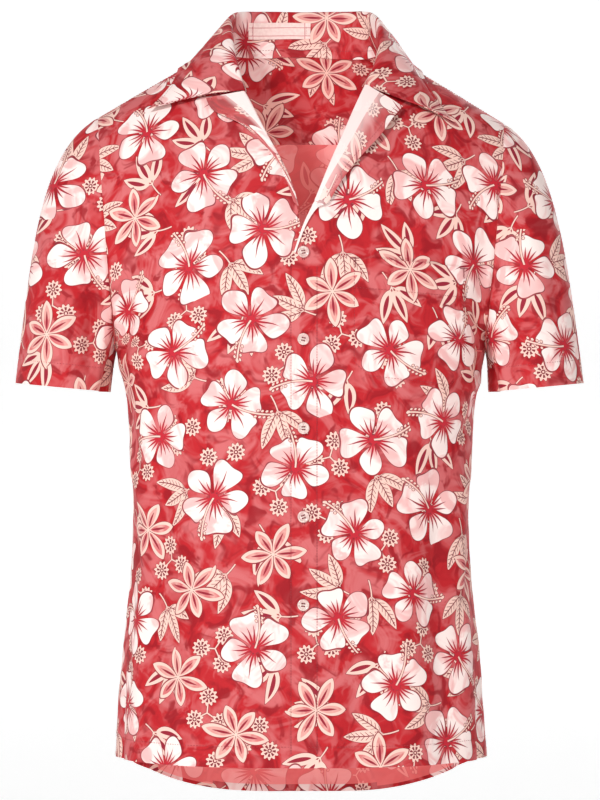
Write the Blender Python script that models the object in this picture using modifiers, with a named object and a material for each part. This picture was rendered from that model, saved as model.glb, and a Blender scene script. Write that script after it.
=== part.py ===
"""Short-sleeved aloha shirt as it is worn: hollow, open at the neck, hem and cuffs.

Metres, +Z up. The front faces -Y, so the wearer's right is at -X. The origin lies between the shoulders, at the
height where the shoulder line comes out from under the collar.
"""

from collections import namedtuple

import bmesh
import bpy
import numpy as np
from mathutils import Vector
from mathutils.bvhtree import BVHTree

# Walls and clearances
WALL = 0.0012
YOKE_WALL = 0.0018
COLLAR_WALL = 0.0018
LABEL_WALL = 0.0010
GAP = 0.0004

# Armhole: an oval seen from the side, whose seam leans out towards the shoulder
ARMPIT_Z = -0.271
SHOULDER_Z = -0.045
ARMPIT_X = 0.1805
SHOULDER_X = 0.1990
ARM_FRONT = 0.066
ARM_BACK = 0.072

# The wearer's left shoulder hangs a little lower
LEAN = 0.014
LEAN_HEIGHTS = (-0.300, -0.060)

# Neck and yoke
NECK_X = 0.078
NECK_BACK_Y = 0.0745
NECK_SQUARE = 2.4
YOKE_SEAM_Z = -0.0625
YOKE_SEAM_DROP = 0.0070

# Closure: the wearer's left front lies on the right one
CENTRE_X = 0.0023
OVERLAP_EDGE_X = -0.0105
UNDERLAP_EDGE_X = 0.0155
CLOSURE_FADE = (0.020, 0.055)

# Sections of the body from the hem (level 0) over the armpit (1) to the shoulder ridge (2). front, back and side are
# distances from the neck's upright axis; each height is where the section crosses the centre line or the side seam,
# and drop is the power with which the height changes on the way, rounded off at the centre line by the crest.
Section = namedtuple("Section", "level front front_z back back_z side side_z square drop")
SECTIONS = (
    Section(0.000, 0.145, -0.669, 0.148, -0.713, 0.1820, -0.6660, 2.30, 2.6),
    Section(0.130, 0.142, -0.616, 0.148, -0.650, 0.1784, -0.6125, 2.32, 2.4),
    Section(0.260, 0.138, -0.565, 0.143, -0.588, 0.1744, -0.5635, 2.36, 2.2),
    Section(0.390, 0.133, -0.515, 0.134, -0.528, 0.1690, -0.5145, 2.40, 1.9),
    Section(0.520, 0.128, -0.465, 0.125, -0.471, 0.1651, -0.4655, 2.44, 1.7),
    Section(0.650, 0.125, -0.415, 0.119, -0.417, 0.1646, -0.4165, 2.48, 1.6),
    Section(0.780, 0.126, -0.365, 0.120, -0.365, 0.1671, -0.3675, 2.50, 1.6),
    Section(0.890, 0.1275, -0.3145, 0.125, -0.314, 0.1708, -0.3185, 2.50, 1.6),
    Section(1.000, 0.128, -0.262, 0.130, -0.260, 0.1805, -0.2710, 2.50, 1.6),
    Section(1.167, 0.1275, -0.205, 0.131, -0.200, 0, 0, 2.48, 1.5),
    Section(1.333, 0.121, -0.145, 0.126, -0.137, 0, 0, 2.42, 1.4),
    Section(1.500, 0.107, -0.088, 0.115, -0.075, 0, 0, 2.35, 1.3),
    Section(1.667, 0.083, -0.035, 0.096, -0.014, 0, 0, 2.25, 1.15),
    Section(1.833, 0.047, 0.018, 0.062, 0.036, 0, 0, 2.12, 1.05),
    Section(2.000, 0.000, 0.056, 0.000, 0.056, 0, 0, 2.00, 1.0),
)
CREST = 0.2

# Folds of the body. girth is measured round the section from the centre line, minus on the wearer's right. A fold
# runs from its top to its bottom; a minus depth is a trough.
Fold = namedtuple("Fold", "face top_z bottom_z top_girth bottom_girth width depth")
FOLDS = (
    Fold("front", -0.30, -0.70, -0.165, -0.178, 0.016, 0.0045),
    Fold("front", -0.27, -0.62, -0.135, -0.140, 0.015, -0.0035),
    Fold("front", -0.34, -0.72, -0.095, -0.112, 0.018, 0.0030),
    Fold("front", -0.12, -0.33, -0.180, -0.205, 0.014, -0.0035),
    Fold("front", -0.36, -0.72, 0.135, 0.152, 0.015, -0.0050),
    Fold("front", -0.30, -0.70, 0.172, 0.186, 0.015, 0.0045),
    Fold("front", -0.40, -0.72, 0.098, 0.110, 0.018, 0.0035),
    Fold("front", -0.12, -0.33, 0.196, 0.212, 0.014, -0.0040),
    Fold("back", -0.16, -0.72, -0.120, -0.135, 0.020, 0.0045),
    Fold("back", -0.20, -0.66, -0.070, -0.080, 0.020, -0.0040),
    Fold("back", -0.24, -0.74, 0.060, 0.075, 0.020, -0.0045),
    Fold("back", -0.18, -0.70, 0.118, 0.140, 0.020, 0.0045),
)

# Edges of the fronts above the closure, as heights with the distance from the middle on each side. The rows are in
# pairs of both fronts: the right one runs up under the collar, the left one starts at the closure's edge.
Edge = namedtuple("Edge", "z x")
RIGHT_EDGE = (
    Edge(-0.2100, -0.0155), Edge(-0.1700, -0.0075), Edge(-0.1521, 0.0000), Edge(-0.1215, 0.0062),
    Edge(-0.0900, 0.0191), Edge(-0.0575, 0.0373), Edge(-0.0206, 0.0561), Edge(0.0030, 0.0660), Edge(0.0267, 0.0780),
)
LEFT_EDGE = (
    Edge(-0.2100, -0.0105), Edge(-0.1885, -0.0086), Edge(-0.1655, -0.0030), Edge(-0.1483, 0.0038),
    Edge(-0.1311, 0.0124), Edge(-0.0795, 0.0345), Edge(-0.0470, 0.0490), Edge(-0.0148, 0.0629),
    Edge(0.0060, 0.0710), Edge(0.0267, 0.0780),
)

# Lapels, from the top of the roll down to where it dies out: the roll, the outer edge, and how far that edge stands off
Lapel = namedtuple("Lapel", "roll_x roll_z edge_x edge_z lift")
RIGHT_LAPEL = (
    Lapel(0.0556, -0.0224, 0.0905, -0.0292, 0.0045),
    Lapel(0.0505, -0.0315, 0.0850, -0.0400, 0.0045),
    Lapel(0.0430, -0.0460, 0.0725, -0.0470, 0.0040),
    Lapel(0.0330, -0.0650, 0.0555, -0.0555, 0.0035),
    Lapel(0.0191, -0.0900, 0.0385, -0.0715, 0.0030),
    Lapel(0.0110, -0.1080, 0.0245, -0.0880, 0.0026),
    Lapel(0.0062, -0.1215, 0.0135, -0.1110, 0.0024),
    Lapel(0.0030, -0.1330, 0.0075, -0.1290, 0.0022),
)
LEFT_LAPEL = (
    Lapel(0.0629, -0.0160, 0.0960, -0.0385, 0.0070),
    Lapel(0.0585, -0.0255, 0.0860, -0.0510, 0.0075),
    Lapel(0.0515, -0.0410, 0.0765, -0.0645, 0.0070),
    Lapel(0.0425, -0.0615, 0.0615, -0.0810, 0.0060),
    Lapel(0.0345, -0.0795, 0.0495, -0.0945, 0.0050),
    Lapel(0.0270, -0.0970, 0.0355, -0.1140, 0.0045),
    Lapel(0.0190, -0.1160, 0.0255, -0.1300, 0.0035),
    Lapel(0.0124, -0.1311, 0.0150, -0.1360, 0.0024),
)

# Collar, from the middle of the back to its front end: its roll and the edge of its fall
Station = namedtuple("Station", "at roll_x roll_y roll_z edge_x edge_y edge_z")
RIGHT_COLLAR = (
    Station(0.00, 0.0000, 0.083, 0.0650, 0.0000, 0.113, -0.004),
    Station(0.20, 0.0400, 0.077, 0.0650, 0.0520, 0.108, -0.004),
    Station(0.35, 0.0620, 0.056, 0.0625, 0.0920, 0.083, -0.003),
    Station(0.45, 0.0675, 0.033, 0.0560, 0.1110, 0.048, -0.001),
    Station(0.60, 0.0662, 0.005, 0.0430, 0.1170, 0.012, 0.004),
    Station(0.72, 0.0645, -0.022, 0.0270, 0.1220, -0.018, -0.004),
    Station(0.85, 0.0605, -0.048, 0.0055, 0.1330, -0.041, -0.021),
    Station(1.00, 0.0541, -0.070, -0.0203, 0.1464, -0.054, -0.0403),
)
LEFT_COLLAR = (
    Station(0.00, 0.0000, 0.083, 0.0650, 0.0000, 0.113, -0.004),
    Station(0.20, 0.0410, 0.077, 0.0650, 0.0520, 0.108, -0.004),
    Station(0.35, 0.0655, 0.056, 0.0630, 0.0920, 0.083, -0.003),
    Station(0.45, 0.0720, 0.033, 0.0565, 0.1100, 0.048, -0.001),
    Station(0.60, 0.0750, 0.005, 0.0425, 0.1150, 0.012, 0.002),
    Station(0.72, 0.0750, -0.022, 0.0265, 0.1200, -0.018, -0.008),
    Station(0.85, 0.0705, -0.044, 0.0050, 0.1320, -0.042, -0.028),
    Station(1.00, 0.0610, -0.063, -0.0145, 0.1454, -0.062, -0.0536),
)

# The collar's front ends, from the roll past the notch to the tip, as they lie on the fronts
End = namedtuple("End", "at x z out")
RIGHT_END = (
    End(0.00, 0.0541, -0.0203, 0.0015), End(0.12, 0.0620, -0.0215, 0.0025), End(0.40, 0.0905, -0.0262, 0.0050),
    End(0.70, 0.1190, -0.0335, 0.0065), End(1.00, 0.1464, -0.0403, 0.0070),
)
LEFT_END = (
    End(0.00, 0.0610, -0.0145, 0.0015), End(0.12, 0.0680, -0.0185, 0.0030), End(0.42, 0.0960, -0.0325, 0.0080),
    End(0.70, 0.1200, -0.0420, 0.0090), End(1.00, 0.1454, -0.0536, 0.0080),
)
STAND_AT_FRONT = 0.0035
SEAM_CLEAR = (0.0015, 0.0008)
FALL_BULGE = 0.006
FALL_CLEAR = 0.0032

# Sleeves: the cuff's oval, and how the cloth runs from the armhole to it
CUFF_X = {-1: 0.2330, 1: 0.2300}
CUFF_Y = -0.006
CUFF_Z = -0.3063
CUFF_HALF_WIDTH = 0.0468
CUFF_HALF_DEPTH = 0.0670
CUFF_TILT = np.radians(5.4)
ARMHOLE_CLEAR = 0.0009
CUFF_RUN = (-0.13, 0.0, 0.99)
UNDERARM_RUN = (0.25, 0.0, -0.97)
LEAD_AT_TOP = {-1: (0.250, 0.46), 1: (0.216, 0.48)}
LEAD_AT_UNDERARM = (0.33, 0.33)
SleeveFold = namedtuple("SleeveFold", "turn lean top bottom width depth")
SLEEVE_FOLDS = (
    SleeveFold(0.30, 0.06, 0.05, 0.85, 0.045, -0.0050),
    SleeveFold(0.20, 0.05, 0.15, 1.00, 0.045, 0.0035),
    SleeveFold(0.40, 0.02, 0.10, 1.00, 0.040, 0.0040),
    SleeveFold(0.72, -0.05, 0.05, 0.90, 0.050, -0.0050),
    SleeveFold(0.83, -0.03, 0.20, 1.00, 0.045, 0.0035),
)

# Pocket on the wearer's left chest, as it shows from the front
POCKET_LEFT_X = 0.0490
POCKET_RIGHT_X = 0.1585
POCKET_TOP_Z = -0.1816
POCKET_TOP_DROP = 0.0092
POCKET_HEIGHT = 0.1150
POCKET_CORNER = 0.0140
POCKET_WALL = 0.0010
POCKET_CLEAR = 0.0013

# Label inside the collar stand
LABEL_TURNS = (-0.270, 0.045)
LABEL_HEIGHTS = (0.42, 0.80)
LABEL_CLEAR = 0.0006

# Buttons of the closure
BUTTON_HEIGHTS = (-0.1772, -0.2602, -0.3452, -0.4302, -0.5143)
BUTTON_RADIUS = 0.0057
BUTTON_THICK = 0.0026
BUTTON_BEVEL = 0.0007
BUTTON_CLEAR = 0.0006
BUTTON_HOLE_RADIUS = 0.0008
BUTTON_HOLE_SPREAD = 0.0013

# Faces across and along each piece
FRONT_FACES = (20, 24)
BACK_FACES = (30, 18)
YOKE_FACES = (32, 4)
SLEEVE_FACES = (26, 9)
COLLAR_FACES = (38, 10)
STAND_FACES = 3
LAPEL_FACES = (3, 12)
POCKET_FACES = (8, 8)
LABEL_FACES = (8, 2)
BUTTON_SIDES = 20
HOLE_SIDES = 6

# How finely the form is worked out before the pieces are cut from it
FORM_LEVELS = np.linspace(0, 2, 241)
FORM_TURNS = np.linspace(-1, 1, 257)
RIDGE_TURN = (1.90, 2.00)
SEAM_TURN = (0.96, 1.00)
SECTION_STEPS = 160


def smooth(rows, key, value, at):
    """Reads one column of a table at the given places of another, on a smooth curve through its rows."""
    xs = np.array([getattr(row, key) for row in rows], float)
    ys = np.array([getattr(row, value) for row in rows], float)
    steps = np.diff(xs)
    slopes = np.diff(ys) / steps
    tangents = np.empty_like(ys)
    tangents[1:-1] = (slopes[:-1] * steps[1:] + slopes[1:] * steps[:-1]) / (steps[1:] + steps[:-1])
    tangents[0] = 1.5 * slopes[0] - 0.5 * tangents[1]
    tangents[-1] = 1.5 * slopes[-1] - 0.5 * tangents[-2]
    at = np.clip(np.asarray(at, float), xs[0], xs[-1])
    i = np.clip(np.searchsorted(xs, at) - 1, 0, len(steps) - 1)
    t = (at - xs[i]) / steps[i]
    return (
        (2 * t**3 - 3 * t**2 + 1) * ys[i]
        + (t**3 - 2 * t**2 + t) * steps[i] * tangents[i]
        + (3 * t**2 - 2 * t**3) * ys[i + 1]
        + (t**3 - t**2) * steps[i] * tangents[i + 1]
    )


def ease(value, low, high):
    """Runs smoothly from 0 at low to 1 at high."""
    t = np.clip((value - low) / (high - low), 0, 1)
    return t * t * (3 - 2 * t)


def mix(a, b, t):
    return a + (b - a) * t


def unit(vectors):
    return vectors / np.linalg.norm(vectors, axis=-1, keepdims=True)


def armhole(level):
    """Distance out, height, and share of the oval's depth of the armhole seam at a level above the armpit."""
    angle = np.pi * np.clip(level - 1, 0, 1)
    z = mix(ARMPIT_Z, SHOULDER_Z, (1 - np.cos(angle)) / 2)
    x = mix(ARMPIT_X, SHOULDER_X, (z - ARMPIT_Z) / (SHOULDER_Z - ARMPIT_Z))
    return x, z, np.sin(angle)


def section(level, face):
    """One section of the body, from the centre line round to the side seam or armhole."""
    depth = float(smooth(SECTIONS, "level", face, level))
    centre_z = float(smooth(SECTIONS, "level", face + "_z", level))
    square = float(smooth(SECTIONS, "level", "square", level))
    drop = float(smooth(SECTIONS, "level", "drop", level))
    if level <= 1:
        lower = [row for row in SECTIONS if row.level <= 1]
        side = float(smooth(lower, "level", "side", level))
        side_z = float(smooth(lower, "level", "side_z", level))
        share = 0.0
    else:
        side, side_z, share = armhole(level)
    seam_depth = share * (ARM_FRONT if face == "front" else ARM_BACK)
    ratio = min(seam_depth / max(depth, 1e-6), 0.999) if share > 1e-9 else 0.0
    reach = side / (1 - ratio**square) ** (1 / square)
    angle = np.linspace(0, np.arccos(ratio ** (square / 2)), SECTION_STEPS)
    x = reach * np.sin(angle) ** (2 / square)
    y = depth * np.cos(angle).clip(0) ** (2 / square)
    share = (np.hypot(x / side, CREST) - CREST) / (np.hypot(1, CREST) - CREST)
    z = centre_z + (side_z - centre_z) * share**drop
    points = np.stack([x, -y if face == "front" else y, z], axis=1)
    length = np.concatenate([[0], np.cumsum(np.linalg.norm(np.diff(points, axis=0), axis=1))])
    half = np.abs(FORM_TURNS)
    placed = np.stack([np.interp(half, length / length[-1], points[:, k]) for k in range(3)], axis=1)
    placed[:, 0] *= np.sign(FORM_TURNS)
    return placed, length[-1]


def surface_normals(points):
    """Outward normals of a grid of points whose rows run from the hem up."""
    up = np.gradient(points, axis=0)
    across = np.gradient(points, axis=1)
    normals = np.cross(up, across)
    normals[np.linalg.norm(normals, axis=-1) < 1e-12] = (0, 0, 1)
    normals = unit(normals)
    middle = points.mean(axis=(0, 1)) * (0, 1, 0)
    turned = np.sign(np.sum(normals * (points - (0, 0, 1) * points - middle * 0.2), axis=-1, keepdims=True).mean())
    return normals * turned


def form_of(face):
    """The whole front or back of the body with its folds: points, normals and each section's length."""
    cut = [section(level, face) for level in FORM_LEVELS]
    points = np.array([placed for placed, _ in cut])
    lengths = np.array([length for _, length in cut])
    normals = surface_normals(points)
    girth = FORM_TURNS[None, :] * lengths[:, None]
    push = np.zeros_like(girth)
    for fold in FOLDS:
        if fold.face != face:
            continue
        along = (points[..., 2] - fold.top_z) / (fold.bottom_z - fold.top_z)
        middle = mix(fold.top_girth, fold.bottom_girth, np.clip(along, 0, 1))
        reach = np.sin(np.pi * np.clip(along, 0, 1)) ** 0.7
        push += fold.depth * reach * np.exp(-(((girth - middle) / fold.width) ** 2))
    points = points + normals * push[..., None]
    points[..., 2] -= LEAN * points[..., 0] * ease(points[..., 2], *LEAN_HEIGHTS)
    return points, surface_normals(points), lengths


def both_forms():
    """The front and the back, whose normals turn into each other's where they meet."""
    front, back = form_of("front"), form_of("back")
    shared = unit(front[1] + back[1])
    near = np.maximum(
        ease(FORM_LEVELS, *RIDGE_TURN)[:, None] * np.ones(len(FORM_TURNS)),
        ease(np.abs(FORM_TURNS), *SEAM_TURN)[None, :] * (FORM_LEVELS <= 1.02)[:, None],
    )[..., None]
    return {
        "front": (front[0], unit(mix(front[1], shared, near)), front[2]),
        "back": (back[0], unit(mix(back[1], shared, near)), back[2]),
    }


FORMS = both_forms()


def on_body(face, level, turn, out=0.0):
    """Points of the body at levels and turns (0 at the centre line, 1 at the wearer's left seam), moved out."""
    points, normals, _ = FORMS[face]
    row = np.clip(np.asarray(level, float), 0, 2) / 2 * (len(FORM_LEVELS) - 1)
    column = (np.clip(np.asarray(turn, float), -1, 1) + 1) / 2 * (len(FORM_TURNS) - 1)
    i = np.clip(row.astype(int), 0, len(FORM_LEVELS) - 2)
    j = np.clip(column.astype(int), 0, len(FORM_TURNS) - 2)
    a = (row - i)[..., None]
    b = (column - j)[..., None]

    def read(grid):
        low = mix(grid[i, j], grid[i, j + 1], b)
        high = mix(grid[i + 1, j], grid[i + 1, j + 1], b)
        return mix(low, high, a)

    return read(points) + unit(read(normals)) * np.asarray(out, float)[..., None]


def spot(face, x, value, axis):
    """Level and turn of the body's point at a given x and a given y (axis 1) or z (axis 2)."""
    points, _, _ = FORMS[face]
    turns = np.array([np.interp(x, row[:, 0], FORM_TURNS) for row in points])
    values = np.array([np.interp(turn, FORM_TURNS, row[:, axis]) for turn, row in zip(turns, points)])
    if axis == 1:
        start = len(FORM_LEVELS) // 2
        order = values[start:] if face == "front" else -values[start:]
        level = np.interp(value if face == "front" else -value, order, FORM_LEVELS[start:])
    else:
        level = np.interp(value, values, FORM_LEVELS)
    return level, np.interp(level, FORM_LEVELS, turns)


def on_front(x, z, out):
    """Points over the fronts, placed as they show from the front."""
    shape = np.shape(x)
    found = np.array([spot("front", a, b, 2) for a, b in zip(np.ravel(x), np.ravel(z))])
    return on_body("front", found[:, 0].reshape(shape), found[:, 1].reshape(shape), out)


def inner_turn(side, level):
    """Turn at which a front's cloth begins at a level: its closure edge, then its neck edge."""
    rows = RIGHT_EDGE if side < 0 else LEFT_EDGE
    points, _, lengths = FORMS["front"]
    row = np.array([np.interp(level, FORM_LEVELS, points[:, j, k]) for j in range(len(FORM_TURNS)) for k in (0, 2)])
    x, z = row[0::2] * side, row[1::2]
    beyond = x - smooth(rows, "z", "x", z)
    order = np.argsort(FORM_TURNS * side)
    turns = FORM_TURNS[order] * side
    first = int(np.argmax(beyond[order] > 0))
    low, high = order[first - 1], order[first]
    share = -beyond[low] / (beyond[high] - beyond[low])
    return mix(turns[first - 1], turns[first], share)


def level_gap(face, level, turn, size):
    """The difference in level that gives a gap of this size."""
    step = 0.004
    a = on_body(face, np.clip(level - step, 0, 2), turn)
    b = on_body(face, np.clip(level, 0, 2), turn)
    return size * step / np.linalg.norm(b - a, axis=-1)


def material(name, colour, roughness, metallic=0.0):
    made = bpy.data.materials.new(name)
    made.use_nodes = True
    shader = made.node_tree.nodes["Principled BSDF"]
    shader.inputs["Base Color"].default_value = (*colour, 1)
    shader.inputs["Roughness"].default_value = roughness
    shader.inputs["Metallic"].default_value = metallic
    made.diffuse_color = (*colour, 1)
    return made


def finish(name, mesh, look):
    mesh.materials.append(look)
    piece = bpy.data.objects.new(name, mesh)
    collection.objects.link(piece)
    return piece


def thick(place, turned=1, tube=False):
    """A way to place a sheet's points at any height over it, from one that places the sheet itself."""
    step = 0.002

    def place_out(across, along, out):
        left, right = (across - step, across + step) if tube else (
            np.clip(across - step, 0, 1), np.clip(across + step, 0, 1))
        below, above = np.clip(along - step, 0, 1), np.clip(along + step, 0, 1)
        normal = np.cross(place(right, along) - place(left, along), place(across, above) - place(across, below))
        return place(across, along) + unit(normal) * turned * np.asarray(out)[..., None]

    return place_out


def cloth(name, faces, place, inner, outer, look, tube=False):
    """A closed cloth solid between two heights over the sheet that place(across, along, out) describes."""
    columns = faces[0] if tube else faces[0] + 1
    rows = faces[1] + 1
    across, along = np.meshgrid(np.arange(columns) / faces[0], np.arange(rows) / faces[1])
    layers = [place(across.ravel(), along.ravel(), np.full(across.size, out)) for out in (outer, inner)]
    count = columns * rows
    polygons = []
    for j in range(faces[1]):
        for i in range(faces[0]):
            a, b = j * columns + i, j * columns + (i + 1) % columns
            c, d = b + columns, a + columns
            polygons.append((a, b, c, d))
            polygons.append((count + d, count + c, count + b, count + a))
    for i in range(faces[0]):
        low, high = i, (i + 1) % columns
        polygons.append((low, low + count, high + count, high))
        low, high = (rows - 1) * columns + low, (rows - 1) * columns + high
        polygons.append((high, high + count, low + count, low))
    if not tube:
        for j in range(faces[1]):
            low, high = j * columns, (j + 1) * columns
            polygons.append((high, high + count, low + count, low))
            low, high = low + columns - 1, high + columns - 1
            polygons.append((low, low + count, high + count, high))
    mesh = bpy.data.meshes.new(name)
    mesh.from_pydata(np.concatenate(layers).tolist(), [], polygons)
    body = bmesh.new()
    body.from_mesh(mesh)
    if body.calc_volume(signed=True) < 0:
        bmesh.ops.reverse_faces(body, faces=body.faces)
    body.to_mesh(mesh)
    body.free()
    return finish(name, mesh, look)


def closure_step(x):
    """Half the height from one front to the other, which dies out away from the closure."""
    return (WALL + GAP) / 2 * (1 - ease(x, *CLOSURE_FADE))


def front_place(side):
    """A front from its closure and neck edge round to the side seam and armhole, and from the hem to the shoulder."""
    top = 2 - float(level_gap("front", 2.0, np.array(0.7), GAP / 2))
    levels = np.linspace(0, 2, 401)
    inner = np.array([inner_turn(side, min(level, top)) for level in levels])
    lengths = FORMS["front"][2]

    def place(across, along, out):
        level = top * along
        outer = 1 - GAP / 2 / np.interp(level, FORM_LEVELS, lengths)
        turn = mix(np.interp(level, levels, inner), outer, across)
        x = np.abs(on_body("front", level, turn)[..., 0])
        return on_body("front", level, turn * side, out + side * closure_step(x))

    return place


def yoke_seam(turn):
    """Levels of the yoke's seam, which runs nearly level across the back."""
    columns = np.linspace(-1, 1, 65)
    start = len(FORM_LEVELS) * 5 // 8
    heights = FORMS["back"][0][start:, ::4, 2]
    targets = YOKE_SEAM_Z - YOKE_SEAM_DROP * columns**2
    found = [np.interp(z, column, FORM_LEVELS[start:]) for z, column in zip(targets, heights.T)]
    return np.interp(turn, columns, found)


def back_place(across, along, out):
    turn = mix(-1, 1, across)
    top = yoke_seam(turn)
    top = top - level_gap("back", top, turn, GAP)
    level = top * along
    trim = 1 - GAP / 2 / np.interp(level, FORM_LEVELS, FORMS["back"][2])
    return on_body("back", level, turn * trim, out)


def neck_back(count):
    """Levels and turns along the back neckline, from the middle of the back to the neck point."""
    angles = np.linspace(0, np.pi / 2, count)[:-1]
    x = NECK_X * np.sin(angles) ** (2 / NECK_SQUARE)
    y = NECK_BACK_Y * np.cos(angles) ** (2 / NECK_SQUARE)
    found = [spot("back", a, b, 1) for a, b in zip(x, y)]
    found.append(spot("back", NECK_X, 0.0, 1))
    return np.array(found)


def yoke_place(across, along, out):
    """The yoke's columns bunch so that one falls on each neck point, where its top edge turns from neck to shoulder."""
    neck = neck_back(25)
    corner = neck[-1, 1]
    signed = mix(-1, 1, across)
    half = np.abs(signed)
    share = 0.5
    turn = np.sign(signed) * np.where(half < share, half / share * corner, mix(corner, 1, (half - share) / (1 - share)))
    top = np.where(np.abs(turn) < corner, np.interp(np.abs(turn), neck[:, 1], neck[:, 0]), 2.0)
    top = np.where(top > 1.999, 2 - level_gap("back", 2.0, turn, GAP / 2), top)
    level = mix(yoke_seam(turn), top, along)
    trim = 1 - GAP / 2 / np.interp(level, FORM_LEVELS, FORMS["back"][2])
    return on_body("back", level, turn * trim, out)


def sleeve_place(side):
    """A sleeve's cloth leaves the armhole along the body's own slope at the top and drops at the underarm."""

    def seam(turn):
        front = turn <= 0.5
        level = np.where(front, 2 - 2 * turn, 2 * turn)
        at_front = on_body("front", level, side)
        at_back = on_body("back", level, side)
        inner_front = on_body("front", level, side * 0.97)
        inner_back = on_body("back", level, side * 0.97)
        points = np.where(front[:, None], at_front, at_back)
        slope = unit(points - np.where(front[:, None], inner_front, inner_back))
        return points, slope

    def place(across, along):
        turn = across % 1.0
        points, slope = seam(turn)
        down = (1 - np.cos(2 * np.pi * turn)) / 2
        slope = slope * (1, 0.35, 1)
        run = np.array(UNDERARM_RUN) * (side, 1, 1)
        lead = unit(mix(unit(slope), run, down[:, None]))
        width = np.cos(2 * np.pi * turn) * CUFF_HALF_WIDTH
        cuff = np.stack([
            side * (CUFF_X[side] + width * np.cos(CUFF_TILT)),
            CUFF_Y - np.sin(2 * np.pi * turn) * CUFF_HALF_DEPTH,
            CUFF_Z + width * np.sin(CUFF_TILT),
        ], axis=1)
        reach = np.linalg.norm(cuff - points, axis=1)[:, None]
        leave = mix(LEAD_AT_TOP[side][0], LEAD_AT_UNDERARM[0], down)[:, None] * reach
        arrive = mix(LEAD_AT_TOP[side][1], LEAD_AT_UNDERARM[1], down)[:, None] * reach
        start = points + lead * GAP + np.array((side * ARMHOLE_CLEAR, 0, 0)) * down[:, None]
        a, b, c = start, start + lead * leave, cuff + np.array(CUFF_RUN) * (side, 1, 1) * arrive
        t = along[:, None]
        placed = (1 - t) ** 3 * a + 3 * (1 - t) ** 2 * t * b + 3 * (1 - t) * t**2 * c + t**3 * cuff
        middle = (1 - t) * np.array((side * 0.19, 0, -0.16)) + t * np.array((side * CUFF_X[side], CUFF_Y, CUFF_Z))
        outward = unit((placed - middle) * (1, 1, 0.15))
        push = np.zeros(len(turn))
        for fold in SLEEVE_FOLDS:
            share = np.clip((along - fold.top) / (fold.bottom - fold.top), 0, 1)
            away = (turn - fold.turn - fold.lean * along + 0.5) % 1 - 0.5
            push += fold.depth * np.sin(np.pi * share) * np.exp(-((away / fold.width) ** 2))
        return placed + outward * push[:, None]

    return place


def neckline(side, count):
    """Points of the neck seam from the middle of the back to the front end of the collar, evenly spaced."""
    back = neck_back(41)
    rear = on_body("back", back[:, 0], back[:, 1] * side)
    rows = RIGHT_EDGE if side < 0 else LEFT_EDGE
    end_z = (RIGHT_COLLAR if side < 0 else LEFT_COLLAR)[-1].roll_z
    z = np.linspace(rear[-1, 2], end_z, 25)[1:]
    fore = on_front(smooth(rows, "z", "x", z) * side, z, np.zeros(len(z)))
    points = np.concatenate([rear, fore])
    length = np.concatenate([[0], np.cumsum(np.linalg.norm(np.diff(points, axis=0), axis=1))])
    at = np.linspace(0, length[-1], count)
    return np.stack([np.interp(at, length, points[:, k]) for k in range(3)], axis=1)


def body_tree():
    """The shoulders as one surface, for keeping the collar's fall clear of them."""
    corners, polygons = [], []
    for face in ("front", "back"):
        points = FORMS[face][0][120::2, ::2]
        start = len(corners)
        rows, columns = points.shape[:2]
        corners.extend(map(Vector, points.reshape(-1, 3)))
        for i in range(rows - 1):
            for j in range(columns - 1):
                a = start + i * columns + j
                polygons.append((a, a + 1, a + columns + 1, a + columns))
    return BVHTree.FromPolygons(corners, polygons)


def kept_clear(points, tree, clear):
    """Points moved out from the shoulders until each is at least this clear of them."""
    moved = []
    for point in points:
        near, _, _, distance = tree.find_nearest(Vector(point))
        away = Vector(point) - near
        up = Vector((near.x * 0.3, near.y, abs(near.x) * 0.6 + 0.05)).normalized()
        inside = away.dot(up) < 0
        if inside or distance < clear:
            direction = up if inside or distance < 1e-6 else away / distance
            point = near + (up if inside else direction) * clear
        moved.append(tuple(point))
    return np.array(moved)


def collar_place():
    """The collar from its neck seam up the stand, over the roll and down the fall, and from end to end."""
    count = 81
    seams = {side: neckline(side, count) for side in (-1, 1)}
    tree = body_tree()
    share = STAND_FACES / COLLAR_FACES[1]

    def place(across, along):
        signed = mix(-1, 1, across)
        half = np.abs(signed)
        placed = np.zeros((len(across), 3))
        for side, rows, ends in ((-1, RIGHT_COLLAR, RIGHT_END), (1, LEFT_COLLAR, LEFT_END)):
            mine = signed <= 0 if side < 0 else signed > 0
            at = half[mine]
            seam = np.stack([np.interp(at, np.linspace(0, 1, count), seams[side][:, k]) for k in range(3)], axis=1)
            roll = np.stack([smooth(rows, "at", "roll_" + k, at) for k in "xyz"], axis=1) * (side, 1, 1)
            edge = np.stack([smooth(rows, "at", "edge_" + k, at) for k in "xyz"], axis=1) * (side, 1, 1)
            inward = unit(np.stack([-roll[:, 0], -roll[:, 1], np.zeros(len(at))], axis=1))
            up = along[mine]
            stand = np.clip(up / share, 0, 1)[:, None]
            fall = np.clip((up - share) / (1 - share), 0, 1)
            last = ease(at, 0.80, 1.0)[:, None]
            seam = seam + inward * (COLLAR_WALL / 2 + SEAM_CLEAR[0]) + (0, 0, SEAM_CLEAR[1])
            seam = mix(seam, roll + (-0.5 * side * STAND_AT_FRONT, STAND_AT_FRONT, -0.2 * STAND_AT_FRONT), last)
            on_stand = mix(seam, roll, stand)
            crown = roll + (0, 0, 0.004) - inward * 0.003
            bulge = unit(-inward * 0.8 + (0, 0, 0.6)) * FALL_BULGE
            middle = mix(crown, edge, 0.45) + bulge
            t = fall[:, None]
            on_fall = (1 - t) ** 2 * crown + 2 * (1 - t) * t * middle + t**2 * edge
            on_fall = kept_clear(on_fall, tree, FALL_CLEAR)
            x, z, out = (smooth(ends, "at", key, fall) for key in ("x", "z", "out"))
            on_fall = mix(on_fall, on_front(x * side, z, out + COLLAR_WALL / 2), last)
            placed[mine] = np.where(up[:, None] <= share + 1e-9, on_stand, on_fall)
        return placed

    return place


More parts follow.
